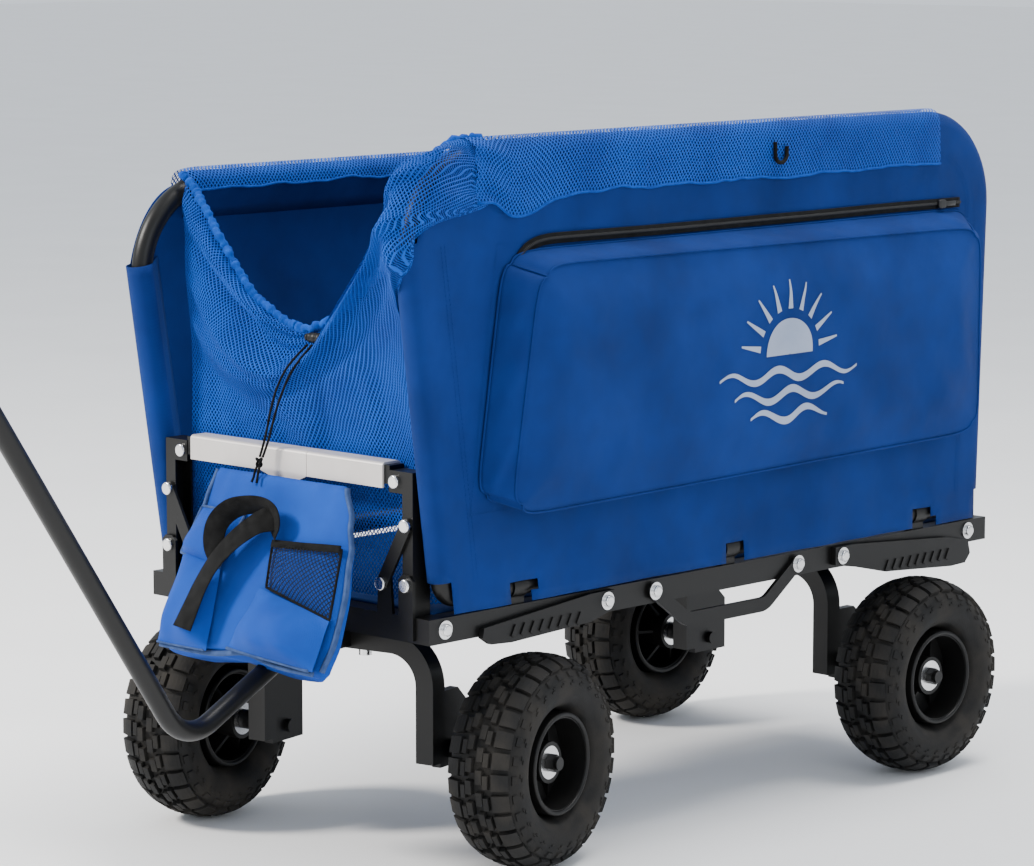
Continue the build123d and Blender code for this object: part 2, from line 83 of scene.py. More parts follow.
def smooth(low, high, value):
    """0 below low, 1 above high, and an even curve between."""
    share = min(max((value - low) / (high - low), 0.0), 1.0)
    return share * share * (3 - 2 * share)


def mix(a, b, share):
    return a * (1 - share) + b * share


def rumple(x, y, z, size, seed=0.0):
    """Smooth noise from -1 to 1 with bumps of about that size."""
    return noise.noise(Vector((x / size + seed, y / size - seed, z / size + 3.7 * seed)))


# ---------------------------------------------------------------- materials
class Look:
    """Builds one node material; the shader's sockets take plain values, the nodes take the detail."""

    def __init__(self, name, **sockets):
        self.material = bpy.data.materials.new(name)
        self.material.use_nodes = True
        self.nodes = self.material.node_tree.nodes
        self.links = self.material.node_tree.links
        self.shader = self.nodes["Principled BSDF"]
        for socket, value in sockets.items():
            self.shader.inputs[socket.replace("_", " ")].default_value = value
        self.place = self.nodes.new("ShaderNodeTexCoord")

    def node(self, kind, values=None, **settings):
        made = self.nodes.new("ShaderNode" + kind)
        for key, value in settings.items():
            setattr(made, key, value)
        for key, value in (values or {}).items():
            if isinstance(value, bpy.types.NodeSocket):
                self.links.new(value, made.inputs[key])
            else:
                made.inputs[key].default_value = value
        return made

    def math(self, operation, first, second=0.0):
        return self.node("Math", {0: first, 1: second}, operation=operation).outputs[0]

    def noise(self, scale, detail=3.0, coords="Object"):
        values = {"Vector": self.place.outputs[coords], "Scale": scale, "Detail": detail}
        return self.node("TexNoise", values).outputs["Fac"]

    def ramp(self, factor, low, high, dark, light):
        made = self.node("ValToRGB", {"Fac": factor})
        for element, at, colour in zip(made.color_ramp.elements, (low, high), (dark, light)):
            element.position = at
            element.color = colour
        return made.outputs["Color"]

    def along(self, x, y, coords="UV"):
        """How far a point lies along a direction of its surface, in turns."""
        made = self.node("VectorMath", {0: self.place.outputs[coords], 1: (x, y, 0)},
                         operation="DOT_PRODUCT")
        return made.outputs["Value"]

    def to(self, socket, output):
        self.links.new(output, self.shader.inputs[socket])

    def bump(self, height, distance, strength=1.0, under=None):
        values = {"Height": height, "Distance": distance, "Strength": strength}
        if under is not None:
            values["Normal"] = under
        return self.node("Bump", values).outputs["Normal"]


def grey(value, tint=(1.0, 1.0, 1.0)):
    return (value * tint[0], value * tint[1], value * tint[2], 1.0)


def wave(look, x, y, pitch):
    """Sine of a direction across the surface, with that pitch in metres."""
    turns = look.along(x * 2 * math.pi / pitch, y * 2 * math.pi / pitch)
    return look.math("SINE", turns)


def canvas(name, dark, light, thread, roughness=0.72, sheen=0.015):
    """Woven polyester: cross weave with painted shade in its hollows, slow colour drift and faint creases."""
    look = Look(name, Sheen_Weight=sheen, Sheen_Roughness=0.45, Specular_IOR_Level=0.12)
    weave = look.math("MULTIPLY", wave(look, 1, 0, thread), wave(look, 0, 1, thread))
    drift = look.noise(7.0, 4.0)
    blotch = look.noise(38.0, 3.0)
    shade = look.math("ADD", look.math("MULTIPLY", drift, 0.75), look.math("MULTIPLY", blotch, 0.25))
    colour = look.ramp(shade, 0.32, 0.68, dark, light)
    # Painted shade of the weave: where the weave relief is low the colour is darkened, and it is lightest on the
    # raised crossings.
    painted_weave_shade = look.ramp(weave, 0.0, 1.0, grey(0.86), grey(1.0))
    tinted = look.node("Mix", {"Factor": 1.0, 6: colour, 7: painted_weave_shade}, data_type="RGBA",
                       blend_type="MULTIPLY")
    look.to("Base Color", tinted.outputs[2])
    rough = look.node("MapRange", {"Value": blotch, "To Min": roughness - 0.07, "To Max": roughness + 0.07})
    look.to("Roughness", rough.outputs["Result"])
    creases = look.bump(look.noise(26.0, 5.0), 0.0022, 0.35, look.bump(look.noise(8.0, 3.0), 0.012, 0.55))
    look.to("Normal", look.bump(weave, 0.00025, 0.55, creases))
    return look.material


def net(name, dark, light, pitch, rise, thread, roughness=0.6):
    """Knitted net with open diamond holes; thread is the closed share of each wave."""
    look = Look(name, Sheen_Weight=0.02, Sheen_Roughness=0.4, Roughness=roughness,
                Specular_IOR_Level=0.12)
    waves = [look.math("ABSOLUTE", look.math("SINE", look.along(math.pi / pitch, side * math.pi / rise)))
             for side in (1, -1)]
    hole = look.math("MINIMUM", *waves)
    covered = look.node("MapRange", {"Value": hole, "From Min": thread - 0.06, "From Max": thread + 0.06,
                                     "To Min": 1.0, "To Max": 0.0})
    look.to("Alpha", covered.outputs["Result"])
    # The colour is random tone plus painted shade: each thread is lighter along its middle and darker towards the
    # holes.
    shade = look.math("ADD", look.math("MULTIPLY", look.noise(11.0, 3.0), 0.8),
                      look.math("MULTIPLY", look.math("SUBTRACT", thread, hole), 0.35))
    look.to("Base Color", look.ramp(shade, 0.28, 0.62, dark, light))
    look.to("Normal", look.bump(look.math("SUBTRACT", 1.0, hole), 0.0012, 0.8))
    return look.material


def webbing(name, colour, worn, pitch=0.0016):
    """Ribbed narrow weave or braid."""
    look = Look(name, Sheen_Weight=0.02, Roughness=0.7, Specular_IOR_Level=0.08)
    ribs = look.math("MULTIPLY", wave(look, 1, 1, pitch), wave(look, 1, -1, pitch))
    look.to("Base Color", look.ramp(look.noise(90.0, 4.0), 0.35, 0.8, colour, worn))
    look.to("Normal", look.bump(ribs, 0.0003, 0.7, look.bump(look.noise(700.0, 2.0), 0.0003, 0.4)))
    return look.material


def coated(name, dark, light, roughness, metallic, grain, relief, **sockets):
    """Paint, plating or moulded plastic: a fine grain in colour, gloss and relief."""
    look = Look(name, Metallic=metallic, **sockets)
    fine = look.noise(grain, 3.0)
    slow = look.noise(14.0, 4.0)
    look.to("Base Color", look.ramp(slow, 0.3, 0.75, dark, light))
    rough = look.node("MapRange", {"Value": slow, "To Min": roughness * 0.8, "To Max": roughness * 1.25})
    look.to("Roughness", rough.outputs["Result"])
    look.to("Normal", look.bump(fine, relief, 0.35))
    return look.material


def tyre_rubber():
    """Dark rubber with pale dust caught in the tread."""
    look = Look("tyre_rubber_look", Specular_IOR_Level=0.22)
    dust = look.math("ADD", look.math("MULTIPLY", look.noise(30.0, 6.0), 0.6),
                     look.math("MULTIPLY", look.noise(9.0, 3.0), 0.4))
    look.to("Base Color", look.ramp(dust, 0.45, 0.75, grey(0.006, (1.0, 0.97, 0.94)),
                                    grey(0.038, (1.0, 0.88, 0.74))))
    rough = look.node("MapRange", {"Value": dust, "From Min": 0.35, "From Max": 0.7,
                                   "To Min": 0.55, "To Max": 0.9})
    look.to("Roughness", rough.outputs["Result"])
    look.to("Normal", look.bump(look.noise(420.0, 4.0), 0.0006, 0.5))
    return look.material


def make_looks():
    blue_dark, blue_light = (0.0022, 0.020, 0.125, 1), (0.0035, 0.036, 0.21, 1)
    bag_dark, bag_light = (0.004, 0.052, 0.34, 1), (0.008, 0.082, 0.47, 1)
    net_dark, net_light = (0.0012, 0.045, 0.29, 1), (0.003, 0.085, 0.47, 1)
    warm = (1.0, 0.94, 0.88)
    return {
        "blue_canvas": canvas("blue_canvas_look", blue_dark, blue_light, 0.0013),
        "bag_canvas": canvas("bag_canvas_look", bag_dark, bag_light, 0.0013, 0.68, 0.02),
        "binding": webbing("binding_look", (0.035, 0.07, 0.19, 1), (0.07, 0.12, 0.28, 1)),
        "blue_net": net("blue_net_look", net_dark, net_light, 0.0056, 0.0070, 0.55),
        "net_hem": webbing("net_hem_look", net_dark, net_light, 0.0024),
        "black_net": net("black_net_look", grey(0.003), grey(0.008), 0.0062, 0.0062, 0.42),
        "webbing": webbing("webbing_look", grey(0.003), grey(0.012)),
        "floor_fabric": canvas("floor_fabric_look", (0.004, 0.02, 0.09, 1), (0.008, 0.035, 0.15, 1),
                               0.0015),
        "print": canvas("print_look", (0.30, 0.36, 0.50, 1), (0.42, 0.48, 0.62, 1), 0.0013, 0.6, 0.02),
        "tyre_rubber": tyre_rubber(),
        "rim_plastic": coated("rim_plastic_look", grey(0.002), grey(0.006, warm), 0.45, 0.0, 600.0, 0.0003,
                              Specular_IOR_Level=0.28),
        "grip_rubber": coated("grip_rubber_look", grey(0.012), grey(0.025), 0.8, 0.0, 350.0, 0.0009),
        "black_steel": coated("black_steel_look", grey(0.002), grey(0.005, warm), 0.38, 0.0, 500.0, 0.0003,
                              Specular_IOR_Level=0.28),
        "silver": coated("silver_look", (0.55, 0.515, 0.49, 1), (0.64, 0.605, 0.58, 1), 0.36, 0.25,
                         380.0, 0.0002, Coat_Weight=0.3, Coat_Roughness=0.3),
        "zinc": coated("zinc_look", grey(0.6), grey(0.85), 0.24, 1.0, 260.0, 0.0003),
        "zip": coated("zip_look", grey(0.006), grey(0.014), 0.5, 0.0, 500.0, 0.0003),
    }


LOOKS = make_looks()


def dress_cad_nodes():
    """Every CAD node takes the look of its slot; replaced ones are hidden later."""
    for part in frame["record"]["subparts"]:
        node = frame["nodes"][part["node"]]
        node.data.materials.clear()
        node.data.materials.append(LOOKS[part["material_slot"]])


# ---------------------------------------------------------------- mesh helpers
def piece(name, points, faces, look, uvs=None, flat_faces=()):
    """A mesh object in frame metres from cart-millimetre points already turned by spot()."""
    mesh = bpy.data.meshes.new(name)
    mesh.from_pydata([tuple(point) for point in points], [], faces)
    flat = set(flat_faces)
    for face in mesh.polygons:
        face.use_smooth = face.index not in flat
    if uvs is not None:
        layer = mesh.uv_layers.new(name="UVMap")
        for loop in mesh.loops:
            layer.data[loop.index].uv = uvs[loop.vertex_index]
    mesh.materials.append(LOOKS[look])
    made = bpy.data.objects.new(name, mesh)
    bpy.context.scene.collection.objects.link(made)
    return made


def grid_faces(rows, columns, start=0, closed=False):
    """Quads of a grid of points stored row by row; closed joins the last column to the first."""
    faces = []
    for row in range(rows - 1):
        for column in range(columns if closed else columns - 1):
            beside = (column + 1) % columns
            faces.append((start + row * columns + column, start + row * columns + beside,
                          start + (row + 1) * columns + beside, start + (row + 1) * columns + column))
    return faces


def capped_faces(rings, sides):
    """Faces of a closed tube: its wall and both end caps."""
    return grid_faces(rings, sides, closed=True) + [
        tuple(reversed(range(sides))), tuple(range((rings - 1) * sides, rings * sides))]


def grid_piece(name, place, rows, columns, look, turned=False):
    """A sheet: place(across, up) gives a frame point for shares from 0 to 1. Its weave follows it."""
    points, uvs = [], []
    for row in range(rows):
        for column in range(columns):
            points.append(place(column / (columns - 1), row / (rows - 1)))
            index = len(points) - 1
            u = uvs[index - 1][0] + (points[index] - points[index - 1]).length if column else 0.0
            v = uvs[index - columns][1] + (points[index] - points[index - columns]).length if row else 0.0
            uvs.append((u, v))
    faces = grid_faces(rows, columns)
    if turned:
        faces = [tuple(reversed(face)) for face in faces]
    return piece(name, points, faces, look, uvs)


def apply_modifiers(made):
    """Turns the modifiers' result into the piece's own mesh."""
    graph = bpy.context.evaluated_depsgraph_get()
    graph.update()
    mesh = bpy.data.meshes.new_from_object(made.evaluated_get(graph))
    made.modifiers.clear()
    made.data = mesh
    return made


def thicken(made, thickness, offset=0.0):
    change = made.modifiers.new("thickness", "SOLIDIFY")
    change.thickness = thickness * MM
    change.offset = offset
    return apply_modifiers(made)


def merge(made, distance=0.05):
    change = made.modifiers.new("merge", "WELD")
    change.merge_threshold = distance * MM
    return apply_modifiers(made)


def join(name, parts):
    """Several pieces as one mesh, keeping each one's materials."""
    with bpy.context.temp_override(active_object=parts[0], selected_editable_objects=parts):
        bpy.ops.object.join()
    parts[0].name = name
    return parts[0]


def curve(a, b, c, d, share):
    """Point between b and c of a smooth curve through four points."""
    return 0.5 * ((2 * b) + (c - a) * share + (2 * a - 5 * b + 4 * c - d) * share ** 2
                  + (3 * b - a - 3 * c + d) * share ** 3)


def spline(points, count, closed=False):
    """Even samples of a smooth curve through the points."""
    keys = [Vector(point) for point in points]
    spans = len(keys) if closed else len(keys) - 1
    result = []
    for step in range(count):
        where = step / (count if closed else count - 1) * spans
        index = min(int(where), spans - 1)
        share = where - index
        if closed:
            near = [keys[(index + shift) % len(keys)] for shift in (-1, 0, 1, 2)]
        else:
            near = [keys[min(max(index + shift, 0), len(keys) - 1)] for shift in (-1, 0, 1, 2)]
        result.append(curve(*near, share))
    return result


def tube(name, points, radius, look, sides=10, closed=False, squash=1.0):
    """Round cord, piping or seam through frame points; radius in millimetres, or one for each point."""
    count = len(points)
    radii = radius if hasattr(radius, "__len__") else [radius] * count
    first = (points[1] - points[0]).normalized()
    normal = first.orthogonal().normalized()
    ring_points, uvs, run = [], [], 0.0
    for index, point in enumerate(points):
        before = points[index - 1] if index or closed else point
        after = points[(index + 1) % count] if index + 1 < count or closed else point
        direction = (after - before).normalized()
        normal = (normal - direction * normal.dot(direction)).normalized()
        across = direction.cross(normal)
        run += (point - points[index - 1]).length if index else 0.0
        for side in range(sides):
            angle = 2 * math.pi * side / sides
            ring_points.append(point + (normal * math.cos(angle) + across * math.sin(angle) * squash)
                               * radii[index] * MM)
            uvs.append((side / sides * radii[index] * 6 * MM, run))
    faces = capped_faces(count, sides)
    if closed:
        last = (count - 1) * sides
        faces = faces[:-2] + [(last + side, last + (side + 1) % sides, (side + 1) % sides, side)
                              for side in range(sides)]
    return piece(name, ring_points, faces, look, uvs)


def ribbon(name, points, normals, width, thickness, look):
    """Flat webbing through frame points, with the normal of its flat side at each."""
    corners, uvs, run = [], [], 0.0
    for index, point in enumerate(points):
        before, after = points[max(index - 1, 0)], points[min(index + 1, len(points) - 1)]
        direction = (after - before).normalized()
        across = direction.cross(normals[index]).normalized() * width / 2 * MM
        up = across.cross(direction).normalized() * thickness / 2 * MM
        run += (point - before).length if index else 0.0
        for side, lift in ((-1, 0.5), (-0.94, 1), (0, 1.15), (0.94, 1), (1, 0.5),
                           (1, -0.5), (0.94, -1), (0, -1.15), (-0.94, -1), (-1, -0.5)):
            corners.append(point + across * side + up * lift)
            uvs.append((side * width / 2 * MM, run))
    return piece(name, corners, capped_faces(len(points), 10), look, uvs)


def lathe(name, start, direction, profile, look, sides=28):
    """Round piece about a line; profile is (distance along it, radius) in millimetres."""
    axis = Vector(direction).normalized()
    normal = axis.orthogonal().normalized()
    across = axis.cross(normal)
    points, uvs = [], []
    for along, radius in profile:
        for side in range(sides):
            angle = 2 * math.pi * side / sides
            points.append(start + (axis * along + (normal * math.cos(angle) + across * math.sin(angle))
                                   * radius) * MM)
            uvs.append((side / sides * 0.05, along * MM))
    return piece(name, points, capped_faces(len(profile), sides), look, uvs)


def stitches(name, points, normals, look, length=3.2, gap=2.4, radius=0.42):
    """A row of raised stitches along frame points, lying on the surface with those normals."""
    verts, faces, uvs = [], [], []
    run, due = 0.0, 0.0
    for index in range(len(points) - 1):
        start, end = points[index], points[index + 1]
        span = (end - start).length / MM
        direction = (end - start).normalized()
        across = direction.cross(normals[index]).normalized()
        while due < run + span:
            centre = start + direction * (due - run) * MM
            base = len(verts)
            for along, size in ((-0.5, 0.2), (-0.3, 1.0), (0.3, 1.0), (0.5, 0.2)):
                for side, lift in ((-1, 0), (0, 1), (1, 0)):
                    verts.append(centre + (direction * along * length + across * side * radius * size
                                           + normals[index] * (lift * radius * size - 0.1)) * MM)
                    uvs.append((side * 0.001, along * 0.003))
            faces += grid_faces(4, 3, base)
            due += length + gap
        run += span
    return piece(name, verts, faces, look, uvs)


def soft_box(name, low, high, look, power=5.0, steps=14, wrinkle=2.0, seed=1.0):
    """Slack closed form between two cart corners: a box with full, rounded sides."""
    low, high = Vector(low), Vector(high)
    centre, half = (low + high) / 2, (high - low) / 2
    points, faces, uvs = [], [], []
    for axis in range(3):
        for sign in (-1, 1):
            base = len(points)
            for row in range(steps + 1):
                for column in range(steps + 1):
                    flat = [0.0, 0.0, 0.0]
                    flat[axis] = sign
                    flat[(axis + 1) % 3] = 2 * column / steps - 1
                    flat[(axis + 2) % 3] = 2 * row / steps - 1
                    size = sum(abs(value) ** power for value in flat) ** (1 / power)
                    reach = Vector(value / size for value in flat)
                    at = Vector(centre[k] + half[k] * reach[k] for k in range(3))
                    shift = 1 - wrinkle * (0.5 + 0.5 * rumple(at.x, at.y, at.z, 55, seed)) / min(half)
                    at = Vector(centre[k] + half[k] * reach[k] * shift for k in range(3))
                    points.append(spot(*at))
                    uvs.append((at[(axis + 1) % 3] * MM, at[(axis + 2) % 3] * MM))
            grid = grid_faces(steps + 1, steps + 1, base)
            faces += grid if sign > 0 else [tuple(reversed(face)) for face in grid]
    return merge(piece(name, points, faces, look, uvs))


# ---------------------------------------------------------------- tyres
CROWN_R, SECTION_R, SECTION_W, BEAD_R = 123.0, 93.0, 48.3, 62.0
PITCHES = 30


def tyre_section(angle):
    """(across, radius) of the bare tyre at an angle from its crown."""
    bend = 0.83
    side, rise = math.sin(angle), math.cos(angle)
    across = SECTION_W * math.copysign(abs(side) ** bend, side)
    reach = CROWN_R - SECTION_R if rise > 0 else SECTION_R - BEAD_R
    return across, SECTION_R + reach * math.copysign(abs(rise) ** bend, rise)


def tyre_point(angle, around, lift=0.0):
    """Point on the tyre, lifted off its surface."""
    across, radius = tyre_section(angle)
    step = 0.02
    ahead, behind = tyre_section(angle + step), tyre_section(angle - step)
    slope = Vector((ahead[0] - behind[0], ahead[1] - behind[1])).normalized()
    normal = Vector((-slope.y, slope.x))
    if normal.y * math.cos(angle) + normal.x * math.sin(angle) < 0:
        normal = -normal
    across, radius = across + normal.x * lift, radius + normal.y * lift
    return Vector((across, radius * math.cos(around), radius * math.sin(around))) * MM


def tyre_lug(points, faces, angles, arounds, lift, taper=0.12):
    """Raised block between two section angles and two turns, with sloping walls."""
    cells = 4
    base = len(points)
    for lifted, shrink in ((-1.5, 0.0), (lift, taper)):
        for row in range(2):
            for column in range(cells + 1):
                share = shrink + (1 - 2 * shrink) * column / cells if shrink else column / cells
                turn = shrink + (1 - 2 * shrink) * row if shrink else row
                points.append(tyre_point(mix(angles[0], angles[1], share),
                                         mix(arounds[0], arounds[1], turn), lifted))
    row = cells + 1
    top = base + 2 * row
    faces += [(top + k, top + k + 1, top + row + k + 1, top + row + k) for k in range(cells)]
    faces += [(base + k, base + k + 1, top + k + 1, top + k) for k in range(cells)]
    faces += [(base + row + k + 1, base + row + k, top + row + k, top + row + k + 1) for k in range(cells)]
    faces += [(base + row, base, top, top + row), (base + cells, base + row + cells,
                                                   top + row + cells, top + cells)]


def tyre_mesh():
    """Knobby tyre about X, outboard +X, with two staggered middle columns and shoulder lugs."""
    sections, turns = 41, 120
    reach = math.radians(158)
    points = []
    for turn in range(turns):
        for index in range(sections):
            angle = -reach + 2 * reach * index / (sections - 1)
            ridge = 1.1 * sum(math.exp(-((abs(math.degrees(angle)) - at) / 2.6) ** 2) for at in (100, 124))
            points.append(tyre_point(angle, 2 * math.pi * turn / turns, ridge))
    faces = []
    for turn in range(turns):
        beside = (turn + 1) % turns
        faces += [(turn * sections + k, turn * sections + k + 1, beside * sections + k + 1,
                   beside * sections + k) for k in range(sections - 1)]
    smooth_count = len(faces)
    step = 2 * math.pi / PITCHES
    degree = math.radians(1)
    for pitch in range(PITCHES):
        start = pitch * step
        for side in (-1, 1):
            shift = start + (0.5 * step if side > 0 else 0.0)
            inner, middle, outer = (side * value * degree for value in (1.5, 10.0, 18.0))
            tyre_lug(points, faces, (inner, middle), (shift, shift + 0.7 * step), 6.2, 0.06)
            tyre_lug(points, faces, (middle, outer), (shift + 0.22 * step, shift + 0.9 * step), 6.0, 0.06)
            lug = shift + 0.12 * step
            tyre_lug(points, faces, (side * 21 * degree, side * 52 * degree), (lug, lug + 0.84 * step), 5.4,
                     0.05)
            tyre_lug(points, faces, (side * 57 * degree, side * 72 * degree),
                     (lug + 0.08 * step, lug + 0.62 * step), 2.0)
            for half in (0, 1):
                tyre_lug(points, faces, (side * (78 + 5 * half) * degree, side * (82 + 5 * half) * degree),
                         (lug + 0.2 * half * step, lug + (0.3 + 0.2 * half) * step), 1.1)
    made = piece("tyre_pattern", points, faces, "tyre_rubber", None, range(smooth_count, len(faces)))
    mesh = made.data
    bpy.data.objects.remove(made)
    return mesh


def make_tyres():
    mesh = tyre_mesh()
    for joint in frame["joints"]:
        if not joint["name"].endswith("_wheel_spin"):
            continue
        wheel = joint["child"]
        outboard = Vector(joint["axis"]) * (1 if "near" in wheel else -1)
        turn = Vector((1, 0, 0)).rotation_difference(outboard)
        if "near" not in wheel:
            turn = Matrix.Rotation(math.atan2(outboard.y, outboard.x), 4, "Z").to_quaternion()
        tyre = bpy.data.objects.new(f"{wheel}_knobby_tyre", mesh)
        bpy.context.scene.collection.objects.link(tyre)
        tyre.matrix_world = Matrix.Translation(joint["pos_m"]) @ turn.to_matrix().to_4x4()
        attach(tyre, wheel)
        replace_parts(tyre, wheel.replace("_wheel", "_tyre"))


# ---------------------------------------------------------------- side panels
def front_line(z, top):
    """y of the front tube's middle at a height."""
    return mix(FRONT_FOOT, FRONT_HEAD, (z - HINGE_Z) / (top - HINGE_Z))


def rear_line(z, top):
    """y of the rear tube's middle at a height, round its top corner."""
    straight = mix(REAR_FOOT, REAR_HEAD, (z - HINGE_Z) / (top - HINGE_Z))
    into = z - (top - CORNER_R)
    if into <= 0:
        return straight
    return straight - (CORNER_R - math.sqrt(max(CORNER_R ** 2 - into ** 2, 0)))


def panel_wrinkle(y, z, top, seed):
    """How far the slack sheet stands out from its plane, in millimetres."""
    inside = min(smooth(0, 90, top - z), smooth(0, 90, y - FRONT_FOOT), smooth(0, 90, REAR_FOOT - y))
    folds = 2.6 * rumple(y, 0, z * 0.35, 120, seed) + 1.2 * rumple(y, 0, z, 45, seed + 2)
    hang = 5.0 * smooth(HINGE_Z + 160, HINGE_Z, z) * rumple(y, 0, z * 0.3, 70, seed + 5)
    return (folds + hang) * inside


BITE = 94.0                # the sheet leaves the tube bare this far down at the top front corner
BITE_BACK = 84.0           # and this far back
SHEET_BOTTOM = 327.0
HINGE_STATIONS = (-380, 0, 380)
NOTCH_HALF, NOTCH_TOP = 18.0, 353.0        # the sheet's notches over the hinge clamps
HEM_IN = 44.0              # the sleeve's stitching, from the tube's middle


def panel_sheet(side):
    """Outer sheet with a sleeve round the front, top and rear tubes; the top front corner is cut away."""
    sign, top = SIDES[side], PANEL_TOPS[side]
    out_x = PANEL_X + SLEEVE_R
    low_rows, high_rows, columns = 34, 16, 84
    heights = [mix(SHEET_BOTTOM, top - BITE, k / low_rows) for k in range(low_rows)]
    heights += [top - BITE + BITE * math.sin(math.pi / 2 * k / high_rows) for k in range(high_rows + 1)]
    points, uvs = [], []

    def put(x, y, z, across, up):
        points.append(spot(sign * x, y, z))
        uvs.append((across * MM, up * MM))

    for row, z in enumerate(heights):
        cut = max(row - low_rows, 0) / high_rows
        start = front_line(min(z, top - BITE), top)
        angle = math.pi / 2 * cut
        start += BITE_BACK * ((1 - math.cos(angle)) * 0.6 + cut * 0.4)
        end = rear_line(z, top)
        for column in range(columns + 1):
            y = mix(start, end, column / columns)
            put(out_x + 0.6 + panel_wrinkle(y, z, top, 1.0 if sign > 0 else 4.0), y, z, y, z)

    def over_clamp(face):
        middle = sum((points[index] for index in face), Vector()) / 4 / MM
        return middle.z < NOTCH_TOP and any(abs(middle.y - FRONT_SHIFT - y) < NOTCH_HALF
                                            for y in HINGE_STATIONS)

    faces = [face for face in grid_faces(len(heights), columns + 1) if not over_clamp(face)]
    width = columns + 1

    def wrap(chain):
        """Carries the sheet from boundary points round the tube and back onto itself."""
        nonlocal faces
        previous = [index for index, _, _ in chain]
        arcs = [math.radians(angle) for angle in range(18, 236, 18)]
        rows = [("arc", angle) for angle in arcs] + [("hem", 0.5), ("hem", 1.0)]
        for number, (kind, value) in enumerate(rows):
            current = []
            for index, middle, outward in chain:
                if kind == "arc":
                    x = PANEL_X + SLEEVE_R * math.cos(value)
                    reach = SLEEVE_R * math.sin(value)
                else:
                    bend = math.radians(234)
                    x = mix(PANEL_X + SLEEVE_R * math.cos(bend), out_x - 0.9, value)
                    reach = mix(SLEEVE_R * math.sin(bend), -HEM_IN, value)
                y, z = middle[0] + outward[0] * reach, middle[1] + outward[1] * reach
                current.append(len(points))
                put(x, y, z, y + outward[0] * number * 5, z + outward[1] * number * 5)
            for k in range(len(chain) - 1):
                faces.append((previous[k], previous[k + 1], current[k + 1], current[k]))
            previous = current

    def outward_at(path, k):
        before, after = path[max(k - 1, 0)], path[min(k + 1, len(path) - 1)]
        along = Vector((after[0] - before[0], after[1] - before[1])).normalized()
        return Vector((-along.y, along.x))

    first_row = 3
    front = [(row * width, (front_line(heights[row], top), heights[row]))
             for row in range(first_row, low_rows + 1)]
    path = [middle for _, middle in front]
    wrap([(index, middle, outward_at(path, k)) for k, (index, middle) in enumerate(front)])
    top_row = len(heights) - 1
    last = [(top_row * width + column, None) for column in range(width)]
    chain = [(index, None) for index, _ in last]
    around = []
    start_y = points[top_row * width].y / MM - FRONT_SHIFT
    end_y = rear_line(top, top)
    for column, (index, _) in enumerate(chain):
        around.append((index, (mix(start_y, end_y, column / columns), top)))
    for row in range(top_row - 1, first_row - 1, -1):
        around.append((row * width + columns, (rear_line(heights[row], top), heights[row])))
    path = [middle for _, middle in around]
    wrap([(index, middle, outward_at(path, k)) for k, (index, middle) in enumerate(around)])
    made = piece(f"{side}_panel_fabric", points, faces, "blue_canvas", uvs)
    return made, path, sign, top


def panel_trim(side, path, top):
    """Stitching of the sleeve."""
    sign = SIDES[side]
    normal = Vector((sign, 0, 0))
    parts = []
    front = [(front_line(z, top), z) for z in range(360, int(top - BITE) - 4, 8)]
    for line, turn in ((front, -1), (path, 1)):
        for inset in (HEM_IN - 2, HEM_IN - 8):
            row = []
            for k in range(len(line)):
                before, after = line[max(k - 1, 0)], line[min(k + 1, len(line) - 1)]
                along = Vector((after[0] - before[0], after[1] - before[1])).normalized()
                inward = Vector((along.y, -along.x))
                y, z = line[k][0] + inward.x * inset, line[k][1] + inward.y * inset
                if z > 352:
                    lift = SLEEVE_R + 1.0 + panel_wrinkle(y, z, top, 1.0 if sign > 0 else 4.0)
                    row.append(spot(sign * (PANEL_X + lift), y, z))
            parts.append(stitches(f"{side}_stitch", row, [normal] * len(row), "blue_canvas"))
    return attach(join(f"{side}_panel_stitching", parts), BODIES[side])


def make_panels():
    for side in SIDES:
        made, path, sign, top = panel_sheet(side)
        thicken(made, 0.9, -1.0 if sign > 0 else 1.0)
        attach(made, BODIES[side])
        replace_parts(made, f"{side}_panel_cover")
        panel_trim(side, path, top)


# ---------------------------------------------------------------- cargo pocket
POCKET_BACK = ((-462, 449), (468, 466), (468, 743), (-416, 742))     # (y, z) from the low front corner
POCKET_FACE = ((-438, 437), (446, 452), (446, 722), (-388, 728))
BACK_X, FACE_X = 252.6, 299.0
ZIP_HEIGHT = 752.0


def between(corners, across, up):
    """Point of a four-cornered outline: across runs to the rear, up runs to the top."""
    low_front, low_rear, high_rear, high_front = (Vector(corner) for corner in corners)
    corner = abs(2 * across - 1) ** 26 * abs(2 * up - 1) ** 9
    across, up = mix(across, 0.5, 0.032 * corner), mix(up, 0.5, 0.10 * corner)
    return low_front.lerp(low_rear, across).lerp(high_front.lerp(high_rear, across), up)


def face_stand(y, z):
    """x of the pocket's face: full in the middle, pulled in along its seams, softly creased."""
    low_front, low_rear, high_rear, high_front = POCKET_FACE
    edge = min(y - mix(low_front[0], high_front[0], (z - low_front[1]) / (high_front[1] - low_front[1])),
               low_rear[0] - y, high_rear[1] - z,
               z - mix(low_front[1], low_rear[1], (y - low_front[0]) / (low_rear[0] - low_front[0])))
    creases = 4.2 * rumple(y, 0, z * 0.45, 130, 7.0) + 1.9 * rumple(y, 0, z, 48, 9.0)
    pull = 2.6 * rumple(y + z * 0.8, 0, (z - y) * 0.2, 60, 11.0) * smooth(220, 0, edge)
    return FACE_X - 13 + 12 * smooth(-8, 60, edge) + (creases + pull) * smooth(0, 45, edge)


